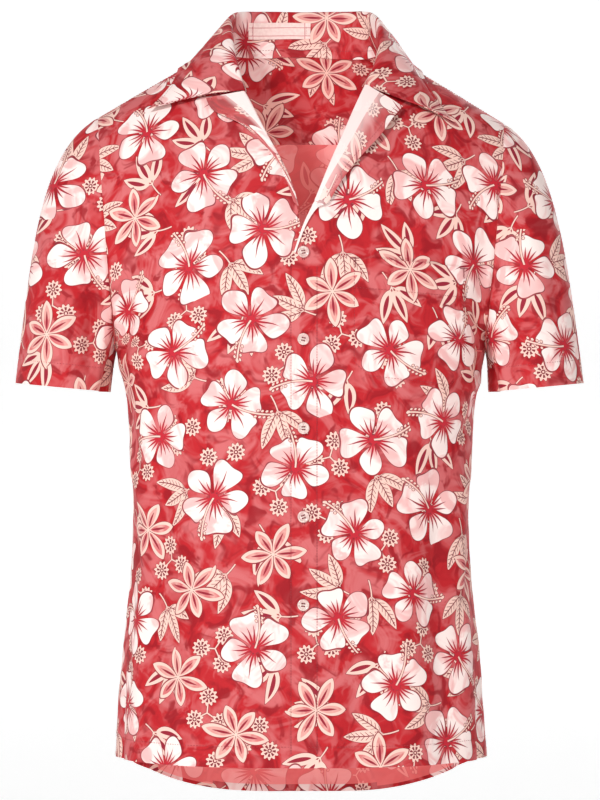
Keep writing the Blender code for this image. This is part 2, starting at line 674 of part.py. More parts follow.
def lapel_place(side):
    """A lapel lies on its front from the roll to its outer edge, a little further off the cloth at the edge."""
    rows = RIGHT_LAPEL if side < 0 else LEFT_LAPEL
    places = np.linspace(0, 1, len(rows))
    Row = namedtuple("Row", ("at", *Lapel._fields))
    rows = [Row(at, *row) for at, row in zip(places, rows)]

    def place(across, along, out):
        down = 1 - along
        roll_x, roll_z, edge_x, edge_z, lift = (smooth(rows, "at", key, down) for key in Lapel._fields)
        x = mix(roll_x, edge_x, across)
        z = mix(roll_z, edge_z, across)
        near = GAP + np.maximum(side * closure_step(x), 0)
        return on_front(x * side, z, near + lift * ease(across, 0.0, 1.0) + out)

    return place


def pocket_place(across, along, out):
    """The pocket's lower corners are cut off at a slant."""
    down = 1 - along
    cut = POCKET_CORNER * ease(down, 1 - 1.2 * POCKET_CORNER / POCKET_HEIGHT, 1.0)
    x = mix(POCKET_LEFT_X + cut, POCKET_RIGHT_X - cut, across)
    z = POCKET_TOP_Z - POCKET_TOP_DROP * across - POCKET_HEIGHT * down
    return on_front(x, z, POCKET_CLEAR + closure_step(x) + out)


def label_place(across, along, out):
    """The label lies on the inner face of the collar stand."""
    turn = mix(LABEL_TURNS[0], LABEL_TURNS[1], across)
    height = mix(LABEL_HEIGHTS[0], LABEL_HEIGHTS[1], along)
    share = STAND_FACES / COLLAR_FACES[1]
    return collar_at((turn + 1) / 2, height * share, COLLAR_WALL / 2 + LABEL_CLEAR + out)


def button(name, height):
    """A disc with a bevelled rim and four holes, lying on the closure."""
    step = closure_step(CENTRE_X)
    centre = on_front(np.array([CENTRE_X]), np.array([height]), np.array([step]))[0]
    above = on_front(np.array([CENTRE_X]), np.array([height]), np.array([step + 0.001]))[0]
    normal = Vector(unit(above - centre))
    where = Vector(centre) + normal * (BUTTON_CLEAR + BUTTON_THICK / 2)
    turned = normal.to_track_quat("Z", "Y")
    disc = bmesh.new()
    bmesh.ops.create_cone(
        disc, segments=BUTTON_SIDES, radius1=BUTTON_RADIUS, radius2=BUTTON_RADIUS, depth=BUTTON_THICK, cap_ends=True
    )
    mesh = bpy.data.meshes.new(name)
    disc.to_mesh(mesh)
    disc.free()
    piece = finish(name, mesh, shell_look)
    piece.location = where
    piece.rotation_mode = "QUATERNION"
    piece.rotation_quaternion = turned
    rim = piece.modifiers.new("Rim", "BEVEL")
    rim.width = BUTTON_BEVEL
    rim.segments = 1
    rim.limit_method = "ANGLE"
    for across in (-1, 1):
        for up in (-1, 1):
            drill = bmesh.new()
            bmesh.ops.create_cone(
                drill, segments=HOLE_SIDES, radius1=BUTTON_HOLE_RADIUS, radius2=BUTTON_HOLE_RADIUS,
                depth=BUTTON_THICK * 3, cap_ends=True,
            )
            shape = bpy.data.meshes.new("hole")
            drill.to_mesh(shape)
            drill.free()
            cutter = bpy.data.objects.new("hole", shape)
            cutters.objects.link(cutter)
            offset = Vector((across * BUTTON_HOLE_SPREAD, up * BUTTON_HOLE_SPREAD, 0))
            cutter.location = where + turned @ offset
            cutter.rotation_mode = "QUATERNION"
            cutter.rotation_quaternion = turned
            cutter.hide_render = True
            cutter.display_type = "WIRE"
            hole = piece.modifiers.new("Hole", "BOOLEAN")
            hole.operation = "DIFFERENCE"
            hole.object = cutter
    return piece


for old in list(bpy.data.objects):
    bpy.data.objects.remove(old, do_unlink=True)
collection = bpy.data.collections.new("Aloha shirt")
cutters = bpy.data.collections.new("Cutters")
bpy.context.scene.collection.children.link(collection)
bpy.context.scene.collection.children.link(cutters)

cloth_look = material("Printed red shirting", (0.62, 0.06, 0.08), 0.75)
label_look = material("Woven label", (0.80, 0.55, 0.52), 0.7)
shell_look = material("Pearl button", (0.85, 0.74, 0.70), 0.3)

for side, hand in ((-1, "right"), (1, "left")):
    cloth("front_" + hand, FRONT_FACES, front_place(side), -WALL, 0, cloth_look)
    cloth("lapel_" + hand, LAPEL_FACES, lapel_place(side), 0, WALL, cloth_look)
    cloth("sleeve_" + hand, SLEEVE_FACES, thick(sleeve_place(side), side, tube=True), -WALL, 0, cloth_look, tube=True)
cloth("back", BACK_FACES, back_place, -WALL, 0, cloth_look)
cloth("yoke", YOKE_FACES, yoke_place, -YOKE_WALL, 0, cloth_look)
collar_at = thick(collar_place(), -1)
cloth("collar", COLLAR_FACES, collar_at, -COLLAR_WALL / 2, COLLAR_WALL / 2, cloth_look)
cloth("neck_label", LABEL_FACES, label_place, 0, LABEL_WALL, label_look)
cloth("pocket", POCKET_FACES, pocket_place, 0, POCKET_WALL, cloth_look)
for number, height in enumerate(BUTTON_HEIGHTS, start=1):
    button("button_" + str(number), height)
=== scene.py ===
"""Short-sleeved aloha shirt, worn and hollow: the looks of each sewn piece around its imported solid.

Metres, +Z up. The shirt's front faces -Y, so the wearer's right is at -X.
"""

from collections import namedtuple

import bmesh
import bpy
import numpy as np
from mathutils import Matrix, Vector
from mathutils.bvhtree import BVHTree


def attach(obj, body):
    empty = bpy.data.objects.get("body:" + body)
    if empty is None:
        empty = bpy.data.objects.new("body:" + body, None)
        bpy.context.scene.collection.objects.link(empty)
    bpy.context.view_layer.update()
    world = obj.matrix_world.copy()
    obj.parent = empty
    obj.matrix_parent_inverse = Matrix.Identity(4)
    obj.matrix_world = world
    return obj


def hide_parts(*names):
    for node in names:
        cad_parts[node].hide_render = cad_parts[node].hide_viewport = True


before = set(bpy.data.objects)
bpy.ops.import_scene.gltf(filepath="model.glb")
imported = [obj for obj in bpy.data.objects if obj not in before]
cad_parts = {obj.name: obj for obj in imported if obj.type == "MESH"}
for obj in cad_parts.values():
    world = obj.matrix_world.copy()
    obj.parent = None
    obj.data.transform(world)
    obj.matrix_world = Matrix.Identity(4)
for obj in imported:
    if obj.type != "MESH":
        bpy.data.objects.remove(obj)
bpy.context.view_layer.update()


# Camera: level with the middle of the shirt and far off, so that the picture is nearly without perspective.
# Its lens is worked out from the height of what it shows.
PICTURE_MIDDLE = (-0.001, -0.3185)
PICTURE_HEIGHT = 0.784
CAMERA_AWAY = 5.0


def in_scene(name, data):
    """A new object made of this data, put into the scene."""
    made = bpy.data.objects.new(name, data)
    bpy.context.scene.collection.objects.link(made)
    return made


camera = in_scene("camera", bpy.data.cameras.new("camera"))
camera.data.sensor_width = 36
camera.data.lens = camera.data.sensor_width * CAMERA_AWAY / PICTURE_HEIGHT
camera.location = (PICTURE_MIDDLE[0], -CAMERA_AWAY, PICTURE_MIDDLE[1])
camera.rotation_euler = (np.pi / 2, 0, 0)
bpy.context.scene.camera = camera


# Studio: a pale floor that runs up behind into a plain backdrop, one large soft light from the viewer's upper
# left, a weak rosy one from the front and one from behind. A small lamp in the open neck lights the inside of
# the back. The air gives a weak even light and is shown to the camera alone as pale as the paper.
FLOOR_AND_WALL = ((-24, -1.45), (17, -1.45), (20, -1.1), (22, -0.1), (23, 2), (23, 16))
WALL_HALF_WIDTH = 26
AIR_LIGHT = 0.38
AIR_AS_SEEN = 1.15


def new_look(name, finish):
    """A new material with these settings of its shader: itself, its nodes and the shader."""
    made = bpy.data.materials.new(name)
    made.use_nodes = True
    shader = made.node_tree.nodes["Principled BSDF"]
    for key, value in finish.items():
        shader.inputs[key].default_value = value
    return made, made.node_tree, shader


def studio_wall():
    mesh = bpy.data.meshes.new("studio")
    corners = [(x, y, z) for y, z in FLOOR_AND_WALL for x in (-WALL_HALF_WIDTH, WALL_HALF_WIDTH)]
    starts = range(0, len(corners) - 2, 2)
    mesh.from_pydata(corners, [], [(i, i + 1, i + 3, i + 2) for i in starts])
    mesh.shade_smooth()
    paper, _, _ = new_look("studio_paper", {
        "Base Color": (0.93, 0.93, 0.93, 1), "Roughness": 0.95,
        "Emission Color": (1, 1, 1, 1), "Emission Strength": 0.50,
    })
    mesh.materials.append(paper)
    return in_scene("studio", mesh)


def soft_light(name, place, aim, size, power, colour=(1, 1, 1)):
    lamp = bpy.data.lights.new(name, "AREA")
    lamp.color = colour
    lamp.shape = "DISK"
    lamp.size = size
    lamp.energy = power
    light = in_scene(name, lamp)
    light.location = place
    light.rotation_euler = (Vector(aim) - Vector(place)).to_track_quat("-Z", "Y").to_euler()
    return light


def studio_air():
    """Air that lights the shirt weakly, and that camera rays see brighter."""
    world = bpy.data.worlds.new("studio_air")
    world.use_nodes = True
    nodes, links = world.node_tree.nodes, world.node_tree.links
    felt = nodes["Background"]
    felt.inputs["Color"].default_value = (1, 1, 1, 1)
    felt.inputs["Strength"].default_value = AIR_LIGHT
    seen_air = nodes.new("ShaderNodeBackground")
    seen_air.inputs["Strength"].default_value = AIR_AS_SEEN
    either = nodes.new("ShaderNodeMixShader")
    links.new(nodes.new("ShaderNodeLightPath").outputs["Is Camera Ray"], either.inputs[0])
    links.new(felt.outputs[0], either.inputs[1])
    links.new(seen_air.outputs[0], either.inputs[2])
    links.new(either.outputs[0], nodes["World Output"].inputs["Surface"])
    return world


studio_wall()
soft_light("key", (-1.60, -3.30, 1.45), (0, 0, -0.25), 0.6, 98)
soft_light("fill", (0.8, -4.2, 0.5), (0, 0, -0.3), 1.2, 22, (1.0, 0.86, 0.84))
soft_light("rear", (1.4, 3.6, 1.2), (0, 0, -0.3), 1.6, 50)
neck_lamp = soft_light("inner", (0.020, -0.052, -0.062), (0.030, 0.100, -0.084), 0.09, 0.084)
neck_lamp.visible_camera = False
bpy.context.scene.world = studio_air()
bpy.context.scene.view_settings.view_transform = "Standard"


# Printed cloth: a smooth plain-woven cotton with a mottled red ground and a pale print of hibiscus, star
# flowers, round blossoms and leaf sprigs. One loose lattice sets out the flowers, another one the leaves.
FLOWER_CELL = (0.0820, 0.0750)
LEAF_CELL = (0.0570, 0.0540)
BRICK_SHIFT = 0.46
THREADS = 8500


class Dye:
    """A shader socket. Operators on it add Math nodes to its material."""

    def __init__(self, tree, socket):
        self.tree = tree
        self.socket = socket

    def node(self, kind, settings, inputs, output=0):
        made = self.tree.nodes.new(kind)
        for key, value in settings.items():
            setattr(made, key, value)
        for key, value in inputs.items():
            if isinstance(value, Dye):
                self.tree.links.new(value.socket, made.inputs[key])
            else:
                made.inputs[key].default_value = value
        return Dye(self.tree, made.outputs[output])

    def maths(self, operation, *others, clamped=False):
        settings = {"operation": operation, "use_clamp": clamped}
        return self.node("ShaderNodeMath", settings, dict(enumerate((self, *others))))

    def __add__(self, other):
        return self.maths("ADD", other)

    def __mul__(self, other):
        return self.maths("MULTIPLY", other)

    def __sub__(self, other):
        return self.maths("SUBTRACT", other)

    def __rsub__(self, other):
        return self.maths("MULTIPLY_ADD", -1.0, other)

    def __truediv__(self, other):
        return self.maths("DIVIDE", other)

    def __abs__(self):
        return self.maths("ABSOLUTE")

    def root(self):
        return self.maths("SQRT")

    def sine(self):
        return self.maths("SINE")

    def least(self, other):
        return self.maths("MINIMUM", other)

    def most(self, other):
        return self.maths("MAXIMUM", other)

    def between(self, low, high):
        """Runs from 0 at low to 1 at high."""
        settings = {"interpolation_type": "SMOOTHSTEP"}
        return self.node("ShaderNodeMapRange", settings, {"Value": self, "From Min": low, "From Max": high})

    def within(self, limit, soft=0.00012):
        """1 where the value is under the limit, 0 over it."""
        return (self - limit).between(soft, -soft)

    def mixed(self, colour, other):
        """Two colours mixed by this share of the second."""
        return self.node("ShaderNodeMix", {"data_type": "RGBA"}, {"Factor": self, 6: colour, 7: other}, 2)

    def clouds(self, scale, detail, dimensions="3D", **more):
        """Cloudy values from 0 to 1 over this place."""
        inputs = {"Vector": self, "Scale": scale, "Detail": detail, **more}
        return self.node("ShaderNodeTexNoise", {"noise_dimensions": dimensions}, inputs)

    def bump(self, strength, distance):
        """This height as a bump for the shader's normal."""
        inputs = {"Strength": strength, "Distance": distance, "Height": self}
        return self.node("ShaderNodeBump", {}, inputs)


def parts(vector):
    split = vector.tree.nodes.new("ShaderNodeSeparateXYZ")
    vector.tree.links.new(vector.socket, split.inputs[0])
    return [Dye(vector.tree, out) for out in split.outputs[:3]]


def on_map(tree, name):
    """Places on one of the cloth's flat maps."""
    place = tree.nodes.new("ShaderNodeUVMap")
    place.uv_map = name
    return Dye(tree, place.outputs[0])


def turned(x, y, angle):
    """Two coordinates turned by an angle."""
    flat = x.node("ShaderNodeCombineXYZ", {}, {"X": x, "Y": y})
    spun = x.node("ShaderNodeVectorRotate", {"rotation_type": "Z_AXIS"}, {"Vector": flat, "Angle": angle})
    return parts(spun)[:2]


def lattice(cloth, cell, angle, jitter):
    """A loose lattice in bricks: where the cloth lies from its motif's middle, and three random numbers."""
    x, y = turned(*parts(cloth)[:2], angle)
    y = y / cell[1]
    row = y.maths("FLOOR")
    x = row * BRICK_SHIFT + x / cell[0]
    column = x.maths("FLOOR")
    key = x.node("ShaderNodeCombineXYZ", {}, {"X": column, "Y": row})
    chance = parts(key.node("ShaderNodeTexWhiteNoise", {"noise_dimensions": "2D"}, {"Vector": key}, "Color"))
    x = (x - column - 0.5) * cell[0] + (chance[1] * 47).sine() * jitter
    y = (y - row - 0.5) * cell[1] + (chance[2] * 53).sine() * jitter
    return turned(x, y, chance[1] * 6.283), chance


def petals(x, y, count):
    """Folds the plane round a flower's middle into one petal: along, across, its number, reach and angle."""
    step = 2 * np.pi / count
    angle = y.maths("ARCTAN2", x)
    reach = (x * x + y * y).root()
    number = (angle / step).maths("ROUND")
    angle = angle - number * step
    return reach * angle.maths("COSINE"), reach * angle.sine(), number, reach, angle


def blade(along, across, length, width, low, high):
    """How far outside a pointed leaf or petal a point lies: it starts at 0 and swells by two powers."""
    widest = low / (low + high)
    share = along.maths("DIVIDE", length, clamped=True)
    swell = share.maths("POWER", low) * (1 - share).maths("POWER", high)
    half = swell * (width / (widest**low * (1 - widest) ** high))
    return (abs(across) - half).most((along - length).most(along * -1))


def hibiscus(x, y, chance):
    """Five wavy petals brushed with crimson strokes out of a red throat."""
    along, across, number, reach, angle = petals(x, y, 5)
    size = ((number * 2.3 + chance * 20).sine() * 0.07 + 1) * (chance * 0.0050 + 0.0300)
    a = along / size
    b = across / size / (a * 0.49 + 0.050)
    c = (a - 0.560) / 0.450
    ripple = (angle * 8 + number * 2).sine() * 0.0014
    edge = ((c * c + b * b).root() - 1) * 0.0108 + ripple
    ray_step = 0.30
    ray = (angle / ray_step).maths("ROUND")
    sway = (reach * 210 + number * 4 + chance * 11).sine() * 0.035
    side = abs((angle + sway - ray * ray_step).sine()) * reach
    length = size * ((number * 5 + ray * 3 + chance * 9).sine() * 0.10 - abs(ray) * 0.17 + 0.78)
    share = (reach / length).least(1.0)
    stroke = side.within((1 - share * share) * 0.00130 - 0.0001, 0.00015)
    throat = reach.within(0.0040, 0.0015)
    return {"edge": edge.least(reach - 0.0042), "streak": stroke.most(throat),
            "core": reach.between(0.0170, 0.0060), "blush": reach.between(0.0185, 0.0060)}


def stamen(x, y):
    """How far outside a long curved stamen a point lies: a rod, beads beside it and one on its end."""
    long, beads_from, bead_step = 0.0400, 0.0240, 0.0040
    sharp = 0.0001
    u = x * 0.81 + y * 0.59
    v = y * 0.81 - x * 0.59
    v = v - u * u * 8 + u * 0.12
    rod = abs(v) + (u - long).between(0, sharp) + u.between(0.0005, 0.0)
    step = ((u / bead_step).maths("FRACT") - 0.5) * bead_step
    off = abs(v) - 0.0031
    bead = (step * step + off * off).root()
    bead = bead + (beads_from - u).between(0, sharp) + (u - long).between(0, sharp)
    end = u - long
    bead = bead.least((end * end + v * v).root() - 0.0005)
    return (rod - 0.00080).least(bead - 0.00120)


def star_flower(x, y, chance):
    """Six pointed petals, each with a rosy heart and a crimson stroke down its middle."""
    along, across, number, reach, _ = petals(x, y, 6)
    length = (number * 1.9 + chance * 30).sine() * 0.0034 + 0.0300
    bend = across + along * (along * 4 - 0.07) * (number * 3 + chance * 12).sine() * 0.5
    edge = blade(along - 0.0008, bend, length, 0.0060, 1.05, 0.80)
    heart = blade(along - length * 0.10, bend, length * 0.80, 0.0037, 0.9, 0.9)
    stroke = blade(along - length * 0.14, bend, length * 0.58, 0.0011, 0.8, 1.0)
    return {"edge": edge.least(reach - 0.0016), "heart": heart.within(0.0), "stroke": stroke.within(0.0)}


def blossoms(x, y, chance):
    """Three round toothed blossoms on short stems."""
    along, across, number, _, _ = petals(x, y, 3)
    stem = abs(across).most(along - 0.012) - 0.0005
    along = along - 0.0150 - (number * 2 + chance * 9).sine() * 0.0012
    angle = across.maths("ARCTAN2", along)
    reach = (along * along + across * across).root()
    edge = reach - 0.0078 - (angle * 11 + number).sine() * 0.0012
    spokes = (angle * 8).sine().within(0.20, 0.3) * abs(reach - 0.0043).within(0.0016)
    eye = abs(reach - 0.0016).within(0.0006)
    return {"edge": edge.least(stem), "stroke": spokes.most(eye)}


def sprig(x, y, chance):
    """Three slender leaves on a curved stem, some finely veined and some with one bold crimson midrib."""
    leaf_step = 0.72
    x = x + 0.0160
    angle = y.maths("ARCTAN2", x)
    reach = (x * x + y * y).root()
    number = (angle / leaf_step).maths("ROUND").most(-1.0).least(1.0)
    angle = angle - number * leaf_step
    inside = reach * angle.maths("COSINE") - 0.0040
    across = reach * angle.sine() + (inside * inside * 6 - inside * 0.12) * (number + 0.4)
    length = (number * 2.7 + chance * 25).sine() * 0.0038 + 0.0330
    edge = blade(inside, across, length, 0.0057, 0.66, 0.92)
    rib = abs(across).within(0.00050) * inside.within(length * 0.92)
    slant = ((inside - abs(across) * 1.1) / 0.0046).maths("FRACT")
    veins = slant.within(0.18, 0.05) * abs(across).within(0.0038) * inside.within(length * 0.85)
    bold = blade(inside - length * 0.16, across, length * 0.70, 0.0021, 0.7, 0.85).within(0.0)
    veined = chance.within(0.52, 0.001)
    stem = abs(across).most(abs(inside) - 0.0048) - 0.0005
    tail = abs(x * x * 9 + y).most(abs(x + 0.0075) - 0.0075) - 0.0005
    edge = edge.least(stem).least(tail)
    return {"edge": edge, "stroke": rib.most(veins) * veined, "bold": bold * (1 - veined)}


def print_on(cloth):
    """The colour of the print at a place on the cloth, in metres."""
    red, coral, deep = (0.470, 0.016, 0.022, 1), (0.590, 0.135, 0.140, 1), (0.290, 0.008, 0.014, 1)
    white, pink, cream = (0.930, 0.770, 0.730, 1), (0.800, 0.380, 0.370, 1), (0.850, 0.560, 0.480, 1)
    ink, crimson, scarlet = (0.210, 0.030, 0.042, 1), (0.290, 0.018, 0.036, 1), (0.500, 0.022, 0.036, 1)
    wide = cloth.clouds(26.0, 3.0, "2D", Roughness=0.6, Distortion=0.9)
    fine = cloth.clouds(52.0, 2.0, "2D", Roughness=0.55, Distortion=0.7)
    colour = wide.between(0.42, 0.66).mixed(red, coral)
    colour = (fine.between(0.52, 0.72) * 0.55).mixed(colour, coral)
    colour = (fine.between(0.50, 0.32) * 0.85).mixed(colour, deep)

    (x, y), chance = lattice(cloth, LEAF_CELL, 0.52, 0.0020)
    leaf, rounds = sprig(x, y, chance[0]), blossoms(x, y, chance[2])
    is_leaf = chance[1].within(0.62, 0.0001)
    (x, y), chance = lattice(cloth, FLOWER_CELL, -0.33, 0.0030)
    bloom, star = hibiscus(x, y, chance[2]), star_flower(x, y, chance[2])
    is_bloom = chance[0].within(0.66, 0.0001)

    edge = is_bloom * bloom["edge"] + (1 - is_bloom) * star["edge"]
    small_edge = is_leaf * leaf["edge"] + (1 - is_leaf) * rounds["edge"]
    small_edge = small_edge.most(0.0014 - edge)
    inked = is_leaf * leaf["stroke"] + (1 - is_leaf) * rounds["stroke"]
    colour = small_edge.within(0.0006, 0.00025).mixed(colour, ink)
    small_colour = (inked * small_edge.within(-0.0004)).mixed(cream, ink)
    small_colour = (is_leaf * leaf["bold"]).mixed(small_colour, crimson)
    colour = small_edge.within(0.0001).mixed(colour, small_colour)

    petal = (wide.between(0.44, 0.64) * 0.78).mixed(white, pink)
    petal = (bloom["blush"] * 0.65).mixed(petal, coral)
    petal = bloom["streak"].mixed(petal, bloom["core"].mixed(crimson, scarlet))
    star_petal = (star["heart"] * (fine.between(0.40, 0.66) * 0.45 + 0.50)).mixed(cream, coral)
    petal = is_bloom.mixed(star["stroke"].mixed(star_petal, crimson), petal)
    colour = edge.within(0.0006, 0.00025).mixed(colour, ink)
    colour = edge.within(0.0001).mixed(colour, petal)
    rod = stamen(x, y)
    colour = (rod.within(0.0005, 0.0002) * is_bloom).mixed(colour, ink)
    return (rod.within(0.0) * is_bloom).mixed(colour, cream)


def cloth_material(name, fade, pale=(1, 1, 1, 1), folded=False):
    """The printed side of the cloth, or with a fade its paler wrong side.

    Folded cloth is near white along its roll, where its pale wrong side shows under a painted highlight, and
    paler for a short way past it: a second map holds how far each place lies past that strip.
    """
    made, tree, shader = new_look(name, {"Roughness": 0.62, "Specular IOR Level": 0.14})
    cloth = on_map(tree, "cloth")
    colour = print_on(cloth)
    if folded:
        past = parts(on_map(tree, "roll"))[0]
        # Painted highlight: near white on the strip along the roll, where the pale wrong side shows, then
        # fading into the print past it.
        fade = 0.95 - past.between(-0.0004, 0.0004) * 0.45 - past.between(0.0, 0.0200) * 0.42
    if fade:
        colour = colour.node("ShaderNodeMix", {"data_type": "RGBA"}, {"Factor": fade, 6: colour, 7: pale}, 2)
    tree.links.new(colour.socket, shader.inputs["Base Color"])
    warp, weft, _ = parts(cloth)
    weave = (warp * THREADS).sine() * (weft * THREADS).sine()
    rough = weave * 0.3 + cloth.clouds(700.0, 1.0, "2D")
    tree.links.new(rough.bump(0.35, 0.00012).socket, shader.inputs["Normal"])
    return made


printed_cloth = cloth_material("printed_cloth", 0)
wrong_side = cloth_material("wrong_side", 0.70, (0.95, 0.22, 0.215, 1))
folded_cloth = cloth_material("folded_cloth", 0, (0.94, 0.76, 0.73, 1), folded=True)


# Back panel: one piece of cloth from side seam to side seam, cut lower in the middle into a curved tail whose
# edge is turned up 7 mm and stitched. It shares the worn form of the body with the other panels: sections
# from the hem over the armpit to the shoulder ridge, with soft folds and creases listed below.
ARMPIT_Z = -0.271
SHOULDER_Z = -0.045
ARMPIT_X = 0.1805
SHOULDER_X = 0.1990
ARM_FRONT = 0.066
ARM_BACK = 0.072
LEAN = 0.014
LEAN_HEIGHTS = (-0.300, -0.060)
CREST = 0.2
YOKE_SEAM_Z = -0.0625
YOKE_SEAM_DROP = 0.0070
TAIL_HEM = 0.0070
CLOTH_WALL = 0.0005
SEAM_GAP = 0.0001
THREAD_LIFT = 0.00005

Section = namedtuple("Section", "level front front_z back back_z side side_z square drop")
SECTIONS = (
    Section(0.000, 0.145, -0.669, 0.148, -0.713, 0.1820, -0.6660, 2.30, 2.6),
    Section(0.130, 0.142, -0.616, 0.148, -0.650, 0.1784, -0.6125, 2.32, 2.4),
    Section(0.260, 0.138, -0.565, 0.143, -0.588, 0.1744, -0.5635, 2.36, 2.2),
    Section(0.390, 0.133, -0.515, 0.134, -0.528, 0.1690, -0.5145, 2.40, 1.9),
    Section(0.520, 0.128, -0.465, 0.125, -0.471, 0.1651, -0.4655, 2.44, 1.7),
    Section(0.650, 0.125, -0.415, 0.119, -0.417, 0.1646, -0.4165, 2.48, 1.6),
    Section(0.780, 0.126, -0.365, 0.120, -0.365, 0.1671, -0.3675, 2.50, 1.6),
    Section(0.890, 0.1275, -0.3145, 0.125, -0.314, 0.1708, -0.3185, 2.50, 1.6),
    Section(1.000, 0.128, -0.262, 0.130, -0.260, 0.1805, -0.2710, 2.50, 1.6),
    Section(1.167, 0.1275, -0.205, 0.131, -0.200, 0, 0, 2.48, 1.5),
    Section(1.333, 0.121, -0.145, 0.126, -0.137, 0, 0, 2.42, 1.4),
    Section(1.500, 0.107, -0.088, 0.115, -0.075, 0, 0, 2.35, 1.3),
    Section(1.667, 0.083, -0.035, 0.096, -0.014, 0, 0, 2.25, 1.15),
    Section(1.833, 0.047, 0.018, 0.062, 0.036, 0, 0, 2.12, 1.05),
    Section(2.000, 0.000, 0.056, 0.000, 0.056, 0, 0, 2.00, 1.0),
)

# Folds and creases, in metres round the body from the centre line, minus on the wearer's right, and in
# height. Each runs from its first place to its second; a minus depth is a trough.
Fold = namedtuple("Fold", "face girth_a z_a girth_b z_b width depth")
FOLDS = (
    Fold("front", -0.165, -0.30, -0.178, -0.70, 0.016, 0.0045),
    Fold("front", -0.135, -0.27, -0.140, -0.62, 0.015, -0.0035),
    Fold("front", -0.095, -0.34, -0.112, -0.72, 0.018, 0.0030),
    Fold("front", -0.180, -0.12, -0.205, -0.33, 0.014, -0.0035),
    Fold("front", 0.135, -0.36, 0.152, -0.72, 0.015, -0.0050),
    Fold("front", 0.172, -0.30, 0.186, -0.70, 0.015, 0.0045),
    Fold("front", 0.098, -0.40, 0.110, -0.72, 0.018, 0.0035),
    Fold("front", 0.196, -0.12, 0.212, -0.33, 0.014, -0.0040),
    Fold("back", -0.120, -0.16, -0.135, -0.72, 0.020, 0.0045),
    Fold("back", -0.070, -0.20, -0.080, -0.66, 0.020, -0.0040),
    Fold("back", 0.060, -0.24, 0.075, -0.74, 0.020, -0.0045),
    Fold("back", 0.118, -0.18, 0.140, -0.70, 0.020, 0.0045),
)
CREASES = (
    Fold("front", -0.236, -0.262, -0.128, -0.205, 0.0080, -0.0020),
    Fold("front", -0.240, -0.288, -0.140, -0.262, 0.0095, 0.0018),
    Fold("front", -0.232, -0.310, -0.158, -0.392, 0.0090, -0.0018),
    Fold("front", -0.226, -0.360, -0.120, -0.452, 0.0110, 0.0017),
    Fold("front", -0.222, -0.420, -0.150, -0.512, 0.0085, -0.0016),
    Fold("front", -0.148, -0.470, -0.062, -0.532, 0.0120, 0.0014),
    Fold("front", -0.066, -0.560, -0.058, -0.735, 0.0130, -0.0018),
    Fold("front", -0.036, -0.590, -0.030, -0.735, 0.0100, 0.0013),
    Fold("front", -0.216, -0.560, -0.206, -0.730, 0.0100, -0.0022),
    Fold("front", -0.060, -0.140, -0.022, -0.232, 0.0110, -0.0012),
    Fold("front", -0.150, -0.080, -0.115, -0.170, 0.0120, 0.0014),
    Fold("front", 0.238, -0.268, 0.168, -0.216, 0.0080, -0.0020),
    Fold("front", 0.242, -0.300, 0.180, -0.310, 0.0090, 0.0018),
    Fold("front", 0.234, -0.322, 0.128, -0.384, 0.0095, -0.0018),
    Fold("front", 0.228, -0.382, 0.120, -0.452, 0.0110, 0.0018),
    Fold("front", 0.218, -0.452, 0.158, -0.560, 0.0090, -0.0018),
    Fold("front", 0.086, -0.330, 0.032, -0.420, 0.0120, -0.0012),
    Fold("front", 0.066, -0.520, 0.058, -0.735, 0.0130, -0.0019),
    Fold("front", 0.034, -0.610, 0.040, -0.735, 0.0100, 0.0013),
    Fold("front", 0.216, -0.580, 0.222, -0.730, 0.0100, -0.0022),
    Fold("front", 0.052, -0.110, 0.026, -0.176, 0.0100, -0.0012),
    Fold("front", 0.152, -0.085, 0.120, -0.160, 0.0120, 0.0014),
    Fold("front", -0.004, -0.262, -0.052, -0.246, 0.0060, -0.0009),
    Fold("front", 0.012, -0.347, 0.060, -0.332, 0.0060, -0.0010),
    Fold("front", -0.006, -0.432, -0.060, -0.446, 0.0060, -0.0010),
    Fold("front", 0.012, -0.516, 0.070, -0.505, 0.0070, -0.0011),
    Fold("back", -0.240, -0.258, -0.130, -0.170, 0.0090, -0.0020),
    Fold("back", -0.238, -0.300, -0.140, -0.262, 0.0100, 0.0018),
    Fold("back", -0.230, -0.340, -0.120, -0.428, 0.0100, -0.0019),
    Fold("back", -0.216, -0.420, -0.096, -0.486, 0.0120, 0.0017),
    Fold("back", -0.028, -0.120, -0.036, -0.400, 0.0140, 0.0019),
    Fold("back", 0.016, -0.160, 0.006, -0.520, 0.0150, -0.0018),
    Fold("back", 0.240, -0.262, 0.136, -0.186, 0.0090, -0.0020),
    Fold("back", 0.236, -0.306, 0.150, -0.276, 0.0100, 0.0018),
    Fold("back", 0.230, -0.352, 0.110, -0.420, 0.0105, -0.0019),
    Fold("back", 0.214, -0.430, 0.108, -0.520, 0.0120, 0.0017),
    Fold("back", -0.020, -0.560, -0.030, -0.740, 0.0130, -0.0020),
    Fold("back", 0.108, -0.600, 0.120, -0.735, 0.0120, -0.0020),
    Fold("back", -0.178, -0.580, -0.182, -0.728, 0.0110, 0.0020),
    Fold("back", 0.184, -0.560, 0.190, -0.728, 0.0110, -0.0020),
    Fold("back", -0.100, -0.062, -0.060, -0.150, 0.0130, -0.0014),
    Fold("back", 0.104, -0.066, 0.060, -0.160, 0.0130, -0.0014),
)
CREASE_RISE = 2.0
CREASE_BEND = 0.16
FORM_LEVELS = np.linspace(0, 2, 401)
FORM_TURNS = np.linspace(-1, 1, 385)
SECTION_STEPS = 240
RIDGE_TURN = (1.90, 2.00)
SEAM_TURN = (0.96, 1.00)


